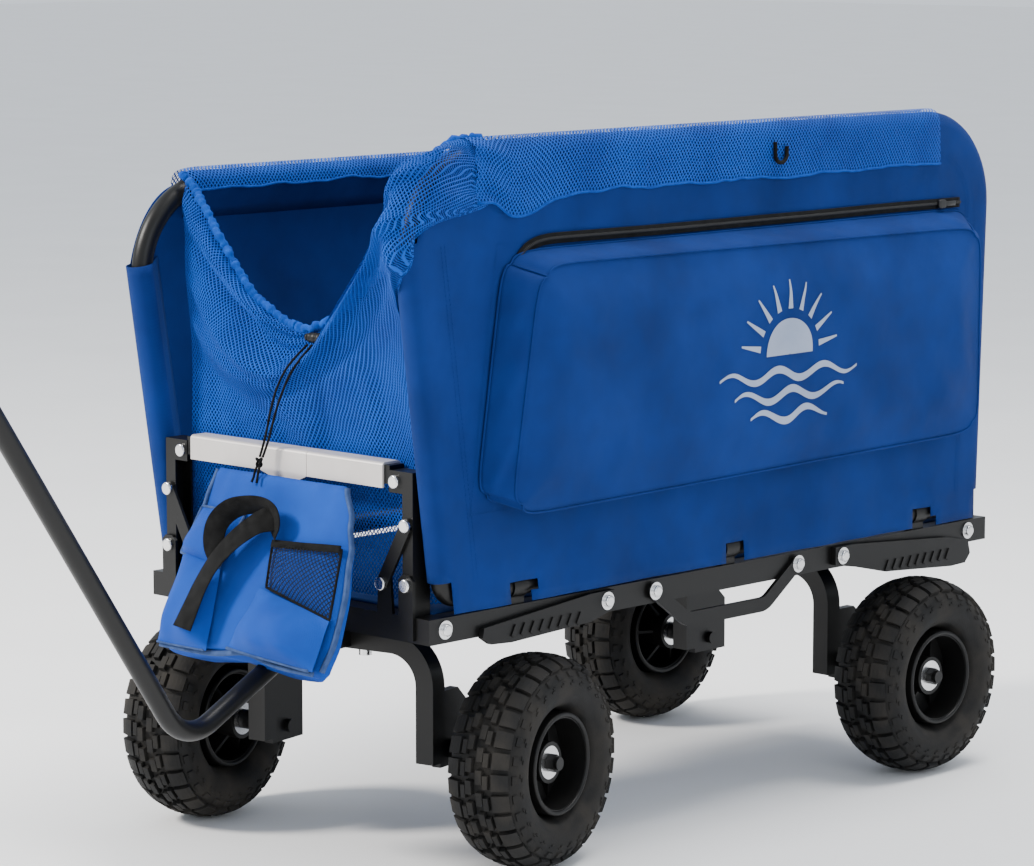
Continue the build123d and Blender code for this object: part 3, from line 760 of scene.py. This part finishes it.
def make_pocket():
    rows, columns, deep = 40, 90, 9
    points, faces, uvs = [], [], []
    for row in range(rows + 1):
        for column in range(columns + 1):
            y, z = between(POCKET_FACE, column / columns, row / rows)
            points.append(spot(face_stand(y, z), y, z))
            uvs.append((y * MM, z * MM))
    faces += grid_faces(rows + 1, columns + 1)
    edges = [[(k / columns, 0.0) for k in range(columns + 1)],
             [(1.0, k / rows) for k in range(rows + 1)],
             [(1 - k / columns, 1.0) for k in range(columns + 1)],
             [(0.0, 1 - k / rows) for k in range(rows + 1)]]
    for number, edge in enumerate(edges):
        base = len(points)
        for step in range(deep + 1):
            share = step / deep
            for across, up in edge:
                near, back = between(POCKET_FACE, across, up), between(POCKET_BACK, across, up)
                y, z = near.lerp(back, share)
                along = y if number in (0, 2) else z
                slack = math.sin(math.pi * share) * smooth(0, 0.06, min(across, 1 - across)
                                                           + min(up, 1 - up))
                fold = rumple(along * 0.9 + share * 60, share * 30, number * 9.0, 34, 5.0)
                x = mix(face_stand(*near), BACK_X, share) + slack * (4.0 + 4.5 * fold)
                outward = {0: (0, -1), 1: (1, 0), 2: (0, 1), 3: (-1, 0)}[number]
                sag = slack * (3.0 + 3.0 * fold)
                points.append(spot(x, y + outward[0] * sag * 0.4, z + outward[1] * sag * 0.4))
                uvs.append((along * MM, x * MM))
        faces += [tuple(reversed(face)) for face in grid_faces(deep + 1, len(edge), base)]
    body = thicken(merge(piece("cargo_pocket_fabric", points, faces, "blue_canvas", uvs)), 1.0, -1.0)
    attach(body, "near_panel")
    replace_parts(body, "cargo_pocket")
    seams = []
    for corners, stand, radius in ((POCKET_FACE, None, 1.3), (POCKET_BACK, BACK_X + 0.8, 1.5)):
        line = [between(corners, *share) for edge in edges for share in edge[:-1]]
        ring = [spot((face_stand(y, z) if stand is None else stand) + 0.3, y, z) for y, z in line]
        seams.append(tube("seam", ring, radius, "blue_canvas", 6, closed=True))
    for share in ((0, 0), (1, 0), (1, 1), (0, 1)):
        face_corner, back_corner = between(POCKET_FACE, *share), between(POCKET_BACK, *share)
        ends = (spot(face_stand(*face_corner) + 0.3, *face_corner), spot(BACK_X + 0.8, *back_corner))
        line = [ends[0].lerp(ends[1], k / 8) + Vector((0.003, 0, 0)) * math.sin(math.pi * k / 8)
                for k in range(9)]
        seams.append(tube("seam", line, 1.2, "blue_canvas", 6))
    outer = [(y + math.copysign(9, y), z + (9 if z > 600 else -9)) for y, z in POCKET_BACK]
    for start, end in zip(outer, outer[1:] + outer[:1]):
        line = [spot(BACK_X + 0.6, mix(start[0], end[0], k / 60), mix(start[1], end[1], k / 60))
                for k in range(61)]
        seams.append(stitches("stitch", line, [Vector((1, 0, 0))] * 61, "blue_canvas"))
    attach(join("cargo_pocket_seams", seams), "near_panel")


def make_zip():
    """Zip above the pocket: straight for the slider's travel, then turning down at the front."""
    path = [(442, 752), (300, 752.5), (150, 752), (0, 752), (-150, 752), (-290, 753), (-345, 752.5),
            (-374, 746), (-390, 734)]
    line = spline([spot(BACK_X + 1.2, y, z) for y, z in path], 160)
    normals = [Vector((1, 0, 0))] * len(line)
    tape = ribbon("zip_tape", line, normals, 13, 1.2, "webbing")
    teeth = stitches("zip_teeth", [point + Vector((0.0008, 0, 0)) for point in line], normals, "zip",
                     1.3, 1.1, 2.1)
    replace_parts(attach(join("pocket_zipper", [tape, teeth]), "near_panel"), "pocket_zip")
    low, high = cart_box("zip_slider")
    body = soft_box("zip_slider_body", (low.x, low.y, low.z - 1), (low.x + 5.5, low.y + 15, high.z + 1),
                    "zip", 4.0, 8, 0.0)
    pull = [spot(low.x + 3.2 + 1.6 * math.sin(math.pi * k / 10), low.y + 9 + 2.6 * k, ZIP_HEIGHT)
            for k in range(11)]
    tab = ribbon("zip_pull", pull, [Vector((1, 0, 0))] * 11, 6.5, 1.6, "zip")
    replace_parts(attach(join("zip_slider_and_pull", [body, tab]), "zip"), "zip_slider")


def make_print():
    """Plain sun over three waves, printed on the pocket's face."""
    centre_y, centre_z, size = 46.0, 588.0, 1.5
    stamps = []

    def stamp(rows, columns, place):
        def at(across, up):
            y, z = place(across, up)
            y, z = centre_y + size * y, centre_z + size * z
            return spot(face_stand(y, z) + 0.7, y, z)
        stamps.append(grid_piece("stamp", at, rows, columns, "print"))

    stamp(5, 41, lambda across, up: (max(up, 0.02) * 30 * math.cos(math.pi * across),
                                     max(up, 0.02) * 30 * math.sin(math.pi * across)))
    rays = 9
    for ray in range(rays):
        angle = math.pi * (ray + 0.5) / rays
        out, side = Vector((math.cos(angle), math.sin(angle))), Vector((-math.sin(angle), math.cos(angle)))
        stamp(8, 3, lambda across, up, out=out, side=side: tuple(
            out * mix(38, 62, up) + side * (across - 0.5) * mix(5.5, 1.5, up)))
    for number, half in enumerate((88, 70, 50)):
        base = -16 - 17 * number
        stamp(3, 81, lambda across, up, half=half, base=base: (
            (2 * across - 1) * half, base + 4.5 * math.sin(across * half / 88 * 6 * math.pi)
            + (up - 0.5) * 6.5 * math.sin(math.pi * min(max(across, 0.04), 0.96)) ** 0.5))
    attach(join("pocket_print", stamps), "near_panel")


# ---------------------------------------------------------------- net ends and net bands
# Rows of listed points (x, y, z) from the far panel to the near one, the lowest row first.
NET_ROWS = (
    ((-208, -494, 333), (-165, -495, 333), (-115, -496, 333), (-60, -496, 333), (-4, -496, 333),
     (50, -496, 333), (100, -496, 333), (150, -495, 333), (196, -494, 333), (208, -490, 333),
     (213, -484, 333), (215, -476, 333)),
    ((-204, -496, 487), (-160, -496, 486), (-108, -496, 484), (-56, -496, 482), (-4, -496, 480),
     (50, -496, 481), (104, -496, 483), (156, -497, 485), (200, -503, 487), (209, -507, 488),
     (213, -506, 489), (215, -500, 490)),
    ((-202, -496, 556), (-160, -497, 543), (-112, -498, 527), (-60, -498, 519), (-16, -499, 518),
     (38, -499, 536), (90, -501, 556), (141, -504, 580), (190, -517, 612), (206, -527, 632),
     (211, -530, 640), (213, -524, 648)),
    ((-202, -497, 616), (-160, -500, 590), (-115, -504, 566), (-72, -505, 552), (-32, -506, 552),
     (25, -506, 586), (75, -510, 620), (126, -519, 664), (186, -545, 716), (222, -576, 742),
     (242, -580, 752), (255, -562, 764)),
    ((-207, -501, 692), (-165, -519, 652), (-120, -534, 620), (-75, -535, 594), (-28, -524, 582),
     (25, -524, 606), (72, -536, 644), (122, -548, 690), (180, -560, 746), (232, -590, 786),
     (265, -534, 800), (257, -452, 796)),
    ((-212, -497, 742), (-168, -499, 702), (-122, -501, 670), (-76, -502, 638), (-24, -498, 612),
     (28, -497, 630), (72, -502, 666), (124, -508, 706), (184, -533, 764), (230, -572, 818),
     (262, -520, 832), (255, -452, 818)),
    ((-218, -496, 782), (-170, -511, 738), (-122, -523, 698), (-74, -522, 660), (-16, -506, 634),
     (34, -504, 644), (76, -516, 676), (130, -530, 722), (182, -544, 782), (222, -556, 846),
     (252, -503, 866), (254, -446, 850)),
    ((-222, -489, 812), (-180, -494, 778), (-128, -498, 724), (-77, -500, 674), (-8, -501, 642),
     (41, -501, 650), (82, -503, 676), (136, -505, 716), (178, -507, 758), (207, -505, 808),
     (219, -486, 863), (236, -438, 874)),
)
REAR_WALL = 492.0
LOCK_X, LOCK_Z = 15, 600         # the folds die away round the cord lock


def rim_points(side):
    """Middle of the panel's tube, from the front foot over the top, as (y, z)."""
    top = PANEL_TOPS[side]
    line = [(front_line(z, top), z) for z in range(345, int(top - CORNER_R), 12)]
    centre = (FRONT_HEAD + CORNER_R, top - CORNER_R)
    line += [(centre[0] - CORNER_R * math.cos(angle), centre[1] + CORNER_R * math.sin(angle))
             for angle in (math.pi / 2 * k / 14 for k in range(15))]
    return line + [(y, top) for y in range(int(centre[0]) + 12, -300, 12)]


RIMS = {side: rim_points(side) for side in SIDES}


def clear_of_panels(point):
    """Moves a net point out of the panel tubes' sleeves."""
    side = "near" if point.x > 0 else "far"
    if abs(point.x) < PANEL_X - 40:
        return point
    nearest = min(RIMS[side], key=lambda at: (at[0] - point.y) ** 2 + (at[1] - point.z) ** 2)
    middle = Vector((SIDES[side] * PANEL_X, nearest[0], nearest[1]))
    away = point - middle
    room = SLEEVE_R + 3.5
    return middle + away.normalized() * room if away.length < room else point


def net_point(across, up, end):
    """Point of a net end, draped in swags from the near panel's corner; the rear one is flatter, and
    follows the panels' rounded corners."""
    point = curve_at([curve_at(row, across) for row in NET_ROWS], up)
    swag = smooth(0.28, 0.42, up)
    inside = smooth(0, 0.05, across) * smooth(0, 0.04, up)
    calm = 1 - 0.8 * math.exp(-((point.x - LOCK_X) / 45) ** 2 - ((point.z - LOCK_Z) / 50) ** 2)
    folds = 12.0 * rumple(across * 190, up * 1100, 0, 62, 3.0) * swag * calm
    folds += 4.5 * rumple(across * 700, up * 200, 0, 55, 5.0) * (1 - swag)
    folds += 1.8 * rumple(point.x, point.z, 0, 20, 8.0) * calm
    gather = smooth(0.93, 1.0, up) * math.sin(across * 150 + 2.5 * math.sin(across * 31))
    point = point + Vector((0, -folds * inside - 1.6 * gather, 1.8 * gather * inside))
    point = clear_of_panels(point)
    if end == "rear":
        depth = -496 - point.y
        top = PANEL_TOPS["near" if point.x > 0 else "far"]
        point.z = min(point.z, top - 1)
        into = max(point.z - (top - CORNER_R), 0)
        round_corner = CORNER_R - math.sqrt(CORNER_R ** 2 - into ** 2)
        point.y = REAR_WALL + (depth * 0.3 if depth > 0 else depth) - round_corner
    return spot(*point)


def curve_at(keys, share):
    """Point of a smooth curve through the keys."""
    spans = len(keys) - 1
    where = min(max(share, 0.0), 1.0) * spans
    index = min(int(where), spans - 1)
    near = [Vector(keys[min(max(index + shift, 0), spans)]) for shift in (-1, 0, 1, 2)]
    return curve(*near, where - index)


MIDDLE = 4 / 11            # share across at which the halves of a net end meet
REAR_NEAR_END = 8.6 / 11   # share across at which the rear net stops
NET_CUTS = {("front", "far"): ((0.24, 0.60), 0.09), ("front", "near"): ((0.42, 0.60), 0.16),
            ("rear", "far"): ((0.24, 0.60), 0.09), ("rear", "near"): ((0.30, 0.60), 0.11)}


def make_net_end(end):
    rows = 74
    for side, first, last, columns in (("far", 0.0, MIDDLE, 44), ("near", MIDDLE, 1.0, 74)):
        if end == "rear" and side == "near":
            last = REAR_NEAR_END

        def place(across, up, first=first, last=last):
            return net_point(mix(first, last, across), up, end)
        made = grid_piece(f"{end}_net_{side}_half", place, rows, columns, "blue_net")
        hem_line = [place(k / 110, 1.0) for k in range(111)]
        radii = [5.0 + 1.1 * math.sin(k * 1.9) + 0.7 * math.sin(k * 0.83) for k in range(111)]
        hem = tube(f"{end}_net_{side}_hem", hem_line, radii, "net_hem", 10)
        for part in (made, hem):
            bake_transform(part)
        if side == "far":
            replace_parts(made, f"{end}_net")
        flat, area = NET_CUTS[end, side]


def make_net_band(side):
    """Net folded over a panel's top tube, hanging further down outside."""
    sign, top = SIDES[side], PANEL_TOPS[side]
    section = [(21, -50), (20.5, -32), (20.5, -8), (18.5, 10), (9, 19.5), (-6, 20), (-17.5, 11),
               (-20, -6), (-19.5, -24)]
    if side == "far":
        section = section[:-2] + [(-20, 3), (-20.5, -5)]
    front, rear = (-466, 398) if side == "near" else (-482, 398)

    def place(across, up):
        x, z = curve_at([(*at, 0) for at in section], up).xy
        y = mix(front, rear, across)
        loose = abs(up - 0.5) * 2
        x += (1.4 * rumple(y, z, 0, 30, 4.0) + 1.2) * loose * math.copysign(1, x)
        z += (5.0 * rumple(y, 0, 0, 90, 6.0) + 2.2 * rumple(y, 0, 0, 24, 2.0)) * smooth(0.6, 1.0, loose)
        if side == "near":
            low = smooth(0.5, 0.0, up)
            z -= (22 * smooth(-290, -400, y) - 20 * smooth(-402, -448, y)) * low
            x += (4.0 + 2.2 * math.sin(up * 34 + y / 19)) * smooth(-340, -450, y) * smooth(0.75, 0.4, up)
        if y < FRONT_HEAD + CORNER_R:
            z -= CORNER_R - math.sqrt(CORNER_R ** 2 - (FRONT_HEAD + CORNER_R - y) ** 2)
        return spot(sign * (PANEL_X + x), y, top + z)
    made = grid_piece(f"{side}_net_band_fabric", place, 26, 170, "blue_net", turned=sign > 0)
    hems = [tube("hem", [place(k / 160, up) for k in range(161)], 1.6, "net_hem", 6) for up in (0.0, 1.0)]
    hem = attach(join(f"{side}_net_band_hems", hems), BODIES[side])
    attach(made, BODIES[side])
    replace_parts(made, f"{side}_net_band")


# ---------------------------------------------------------------- drawstring
STRANDS = {
    "left": ((23, -511, 624.6), (10, -529, 604), (-2, -539, 574), (-12, -541, 542),
             (-20, -541, 512), (-26, -545, 488.5)),
    "right": ((31, -511, 624.6), (18, -528, 602), (6, -537, 570), (-5, -540, 540),
              (-14, -541, 510), (-21, -545, 488.5)),
}
CORD_R = 1.5
KNOT = (-24.0, -548.0, 482.0)


def make_drawstring():
    low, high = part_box("cord_lock")
    start = Vector((low.x, (low.y + high.y) / 2, (low.z + high.z) / 2))
    barrel = [(0, 3.6), (0.4, 4.6), (3.4, 4.6), (3.8, 3.4), (6, 3.4), (6.3, 5.6), (7.2, 6.3), (9, 6.4),
              (9.5, 5.9), (10.4, 5.9), (11, 6.4), (18, 6.5), (18.6, 5.9), (19.5, 5.9), (20, 6.4),
              (24.5, 6.2), (25.6, 5.4), (26, 4.2)]
    lock = lathe("drawstring_lock", start, (1, 0, 0), barrel, "rim_plastic")
    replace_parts(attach(lock, "base"), "cord_lock")
    loop = [spot(KNOT[0] + 1.7 * (math.sin(t) + 2 * math.sin(2 * t)),
                 KNOT[1] - 2.0 * math.sin(3 * t), KNOT[2] + 1 + 1.9 * (math.cos(t) - 2 * math.cos(2 * t)))
            for t in (2 * math.pi * k / 60 for k in range(60))]
    parts = [tube("knot", loop, CORD_R, "webbing", 8, closed=True)]
    for shift in (-3, 3):
        tail = [(KNOT[0] + shift * 0.6, KNOT[1], KNOT[2] - 2), (KNOT[0] + shift, KNOT[1] - 4, KNOT[2] - 10),
                (KNOT[0] + shift * 1.1, KNOT[1] - 6, KNOT[2] - 17),
                (KNOT[0] + shift * 1.5, KNOT[1] - 8.5, KNOT[2] - 23)]
        parts.append(tube("tail", spline([spot(*point) for point in tail], 12), CORD_R, "webbing", 8))
    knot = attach(join("drawstring_end_knot", parts), "base")
    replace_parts(knot, "drawstring_knot")
    for side, points in STRANDS.items():
        data = bpy.data.curves.new(f"drawstring_{side}_cord", "CURVE")
        data.dimensions = "3D"
        line = data.splines.new("NURBS")
        line.points.add(len(points) - 1)
        for point, at in zip(line.points, points):
            point.co = (*spot(*at), 1.0)
        line.order_u = 3
        line.use_endpoint_u = True
        data.resolution_u = 10
        data.bevel_depth = CORD_R * MM
        data.bevel_resolution = 4
        data.use_fill_caps = True
        data.materials.append(LOOKS["webbing"])
        strand = bpy.data.objects.new(data.name, data)
        bpy.context.scene.collection.objects.link(strand)
        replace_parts(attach(strand, "base"), f"drawstring_{side}")
        spot(*points[0])


# ---------------------------------------------------------------- front organiser bag
LEAN = math.atan2(79, 197)
BAG_TOP = (-545.0, 469.0)      # y and z of the face's top edge
BAG_LENGTH = 224.0
BAG_EDGES = ((0, -103, 122), (40, -110, 142), (80, -113, 155), (136, -118, 163), (180, -120, 163),
             (224, -120, 154))


def on_bag(x, down, out=0.0):
    """Point on the bag's leaning face: down along it, out in front of it."""
    y = BAG_TOP[0] - down * math.sin(LEAN) - out * math.cos(LEAN)
    z = BAG_TOP[1] - down * math.cos(LEAN) + out * math.sin(LEAN)
    return spot(x, y, z)


def bag_edge(down, column):
    """x of the bag's left (1) or right (2) edge at a height."""
    for low, high in zip(BAG_EDGES, BAG_EDGES[1:]):
        if down <= high[0]:
            return mix(low[column], high[column], smooth(low[0], high[0], down))
    return BAG_EDGES[-1][column]


def bag_relief(x, down):
    """How far the face stands out: slack creases under the crossbar, full lower down."""
    full = 4.5 * smooth(20, 90, down) * math.sin(math.pi * min(max((x + 120) / 270, 0), 1))
    pleats = 4.2 * rumple(x, down * 0.25, 0, 26, 3.0) * smooth(110, 10, down)
    return full + pleats + 2.8 * rumple(x, down, 0, 42, 6.0)


def make_bag_body():
    rows, around = 34, 72
    points, uvs = [], []
    for row in range(rows + 1):
        share = row / rows
        down = BAG_LENGTH * share
        left, right = bag_edge(down, 1), bag_edge(down, 2)
        thick = mix(11, 30, smooth(0, 1, share)) * (0.35 if row in (0, rows) else 1.0)
        inset = 3.0 if row in (0, rows) else 0.0
        for step in range(around):
            angle = 2 * math.pi * step / around
            side, rise = math.cos(angle), math.sin(angle)
            x = (left + right) / 2 + ((right - left) / 2 - inset) * math.copysign(abs(side) ** 0.35, side)
            out = thick / 2 * math.copysign(abs(rise) ** 0.55, rise) - 15 * share - 5
            out += bag_relief(x, down) * max(rise, 0) ** 0.5
            lift = (2 - 4 * rise) if row == rows else 0.0
            lift -= 9 * math.exp(-((x - 30) / 40) ** 2) * smooth(0.75, 1.0, share)
            points.append(on_bag(x, down + lift, out))
            uvs.append((x * MM, down * MM))
    faces = grid_faces(rows + 1, around, closed=True)
    faces = [tuple(reversed(face)) for face in faces]
    faces.append(tuple(range(around)))
    faces.append(tuple(reversed(range(rows * around, (rows + 1) * around))))
    body = piece("front_bag_body", points, faces, "bag_canvas", uvs)
    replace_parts(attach(body, "base"), "front_bag")


def bag_patch(name, corners, bulge, look, power=3.0, rows=26, columns=26, seed=1.0, droop=0.0):
    """Pocket or flap sewn on the bag: corners are (x, down) from the top left, clockwise."""
    high_left, high_right, low_right, low_left = (Vector(corner) for corner in corners)

    def place(across, up):
        flat = low_left.lerp(low_right, across).lerp(high_left.lerp(high_right, across), up)
        rise = (1 - abs(2 * across - 1) ** power) * (1 - abs(2 * up - 1) ** power)
        slack = 1 + 0.22 * rumple(flat.x, flat.y, 0, 34, seed)
        lean = rise * bulge * slack * (1 + droop * (0.5 - up))
        return on_bag(flat.x, flat.y, 1.2 + max(bag_relief(flat.x, flat.y), 0) + lean)
    made = grid_piece(name, place, rows, columns, look)
    edge = [place(k / 24, 0) for k in range(24)] + [place(1, k / 24) for k in range(24)]
    edge += [place(1 - k / 24, 1) for k in range(24)] + [place(0, 1 - k / 24) for k in range(24)]
    return made, edge


def make_bag():
    make_bag_body()
    fronts = []
    flap, flap_edge = bag_patch("flap", ((-107, 50), (-28, 53), (-45, 121), (-121, 110)), 15, "bag_canvas",
                                4.0, seed=2.0, droop=0.9)
    pouch, pouch_edge = bag_patch("pouch", ((-117, 106), (-44, 118), (-28, 221), (-119, 221)), 17,
                                  "bag_canvas", 4.0, seed=3.0, droop=0.9)
    bottle, bottle_edge = bag_patch("bottle", ((32, 136), (157, 158), (152, 221), (6, 213)), 28,
                                    "bag_canvas", 2.6, seed=4.0, droop=0.9)
    fronts += [flap, pouch, bottle]
    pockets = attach(join("front_bag_pockets", fronts), "base")
    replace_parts(pockets, "bag_flap_and_pocket")
    mesh, mesh_edge = bag_patch("front_bag_net", ((36, 82), (146, 75), (157, 158), (44, 134)), 12,
                                "black_net", 3.0, seed=5.0)
    rims = [tube("rim", mesh_edge, 1.7, "webbing", 6, closed=True)]
    top_rim = [point + Vector((0, -0.002, 0.0008)) for point in mesh_edge[48:73]]
    facing = [Vector((0, -1, 0.4)).normalized()] * len(top_rim)
    rims.append(ribbon("rim", top_rim, facing, 9, 1.6, "webbing"))
    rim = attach(join("front_bag_net_rim", rims), "base")
    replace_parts(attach(mesh, "base"), "bag_net_pocket")
    bindings = []
    for column in (1, 2):
        line = [on_bag(bag_edge(down, column), down, -4 - 8 * down / BAG_LENGTH)
                for down in range(2, int(BAG_LENGTH), 6)]
        bindings.append(ribbon("binding", line, [Vector((0, -0.93, 0.37))] * len(line), 5, 5.5, "binding"))
    low = [on_bag(x, BAG_LENGTH - 1 - 9 * math.exp(-((x - 30) / 40) ** 2), -4) for x in range(-118, 150, 7)]
    bindings.append(ribbon("binding", low, [Vector((0, -0.93, 0.37))] * len(low), 6, 5, "binding"))
    bindings.append(tube("binding", flap_edge[:49] + flap_edge[72:] + flap_edge[:1], 2.0, "binding", 6))
    bindings.append(tube("binding", bottle_edge[:24], 2.2, "binding", 6))
    bindings.append(tube("binding", pouch_edge[:24], 1.6, "binding", 6))
    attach(join("front_bag_binding", bindings), "base")


def make_bag_strap():
    """Webbing handle: an arch that falls to the left, over a long tail lying down the bag."""
    arch = [(-38, 112, 15), (-48, 96, 21), (-46, 72, 26), (-30, 52, 25), (-6, 42, 19), (18, 41, 17),
            (36, 48, 17), (40, 60, 14), (32, 70, 9)]
    tail = [(34, 52, 12), (16, 62, 20), (-10, 88, 26), (-32, 118, 27), (-44, 148, 27), (-49, 176, 28),
            (-52, 203, 30)]
    face = Vector((0, -math.cos(LEAN), math.sin(LEAN)))
    parts = []
    for points, twist, width in ((arch, 0.95, 27), (tail, 0.25, 33)):
        line = spline([on_bag(*point) for point in points], 60)
        normals = []
        for k in range(60):
            along = (line[min(k + 1, 59)] - line[max(k - 1, 0)]).normalized()
            turn = twist * math.sin(math.pi * k / 59)
            normals.append((Matrix.Rotation(turn, 3, along) @ face).normalized())
        parts.append(ribbon("strap", line, normals, width, 1.8, "webbing"))
    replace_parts(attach(join("front_bag_strap", parts), "base"), "bag_strap")


# ---------------------------------------------------------------- floor and rear pouch
def make_floor_mat():
    """Lined board in four sections with stitched folds, on the base."""
    low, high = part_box("floor_mat")
    over = Vector((0.007, 0.007, 0))           # the lining turns up against the rails
    low, high = low - over, high + over
    folds = (0.25, 0.5, 0.75)

    def place(across, up):
        x, y = mix(low.x, high.x, across), mix(low.y, high.y, up)
        crease = sum(math.exp(-((up - at) * 160) ** 2) for at in folds)
        edge = min(across, 1 - across, up * 2.3, (1 - up) * 2.3)
        z = high.z - 0.003 * crease - 0.006 * (1 - smooth(0, 0.03, edge))
        return Vector((x, y, z + 0.0006 * rumple(x / MM, y / MM, 0, 60, 4.0) * smooth(0.02, 0.08, edge)))
    top = grid_piece("floor_mat_lining", place, 220, 40, "floor_fabric")
    solid = top.modifiers.new("board", "SOLIDIFY")
    solid.thickness, solid.offset = 0.0045, -1.0
    apply_modifiers(top)
    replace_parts(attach(top, "base"), "floor_mat")


def make_under_pouch():
    low, high = cart_box("under_pouch")
    pouch = soft_box("under_pouch_fabric", low, high, "blue_canvas", 6.0, 26, 2.4, 2.0)
    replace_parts(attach(pouch, "base"), "under_pouch")


# ---------------------------------------------------------------- stage, light and camera
def make_stage():
    half = 30.0
    floor = bpy.data.meshes.new("floor")
    floor.from_pydata([(-half, -half, 0), (half, -half, 0), (half, half, 0), (-half, half, 0)], [],
                      [(0, 1, 2, 3)])
    look = Look("floor_look", Roughness=0.85)
    look.to("Base Color", look.ramp(look.noise(3.0, 5.0), 0.3, 0.7, grey(0.9), grey(0.93)))
    floor.materials.append(look.material)
    made = bpy.data.objects.new("floor", floor)
    bpy.context.scene.collection.objects.link(made)


def area_light(name, place, aim, size, power, colour):
    lamp = bpy.data.lights.new(name, "AREA")
    lamp.shape = "DISK"
    lamp.size = size
    lamp.energy = power
    lamp.color = colour
    made = bpy.data.objects.new(name, lamp)
    made.location = place
    made.rotation_euler = (Vector(aim) - Vector(place)).to_track_quat("-Z", "Y").to_euler()
    bpy.context.scene.collection.objects.link(made)


def make_light():
    world = bpy.data.worlds.new("studio")
    world.use_nodes = True
    world.node_tree.nodes["Background"].inputs["Color"].default_value = (0.86, 0.92, 1.0, 1.0)
    world.node_tree.nodes["Background"].inputs["Strength"].default_value = 1.05
    bpy.context.scene.world = world
    area_light("key", (-2.6, -3.4, 3.6), (0, 0.1, 0.4), 1.2, 420, (1.0, 0.96, 0.9))
    area_light("fill", (3.6, -1.2, 1.8), (0, 0.4, 0.4), 2.2, 30, (0.88, 0.94, 1.0))
    area_light("top", (0.6, 1.2, 3.8), (0, 0.4, 0.4), 2.0, 150, (1.0, 0.98, 0.95))


def make_camera():
    data = bpy.data.cameras.new("camera")
    data.sensor_width = 36.0
    data.lens = 134.44
    camera = bpy.data.objects.new("camera", data)
    camera.location = (3.3549, -3.1986, 1.14825)
    aim = Vector((-0.0786, 0.355, 0.4627))
    camera.rotation_euler = (aim - camera.location).to_track_quat("-Z", "Y").to_euler()
    bpy.context.scene.collection.objects.link(camera)
    bpy.context.scene.camera = camera


make_camera()
dress_cad_nodes()
make_drawstring()
make_tyres()
make_panels()
make_pocket()
make_zip()
make_print()
for end in ("front", "rear"):
    make_net_end(end)
for side in SIDES:
    make_net_band(side)
make_bag()
make_bag_strap()
make_floor_mat()
make_under_pouch()
make_stage()
make_light()
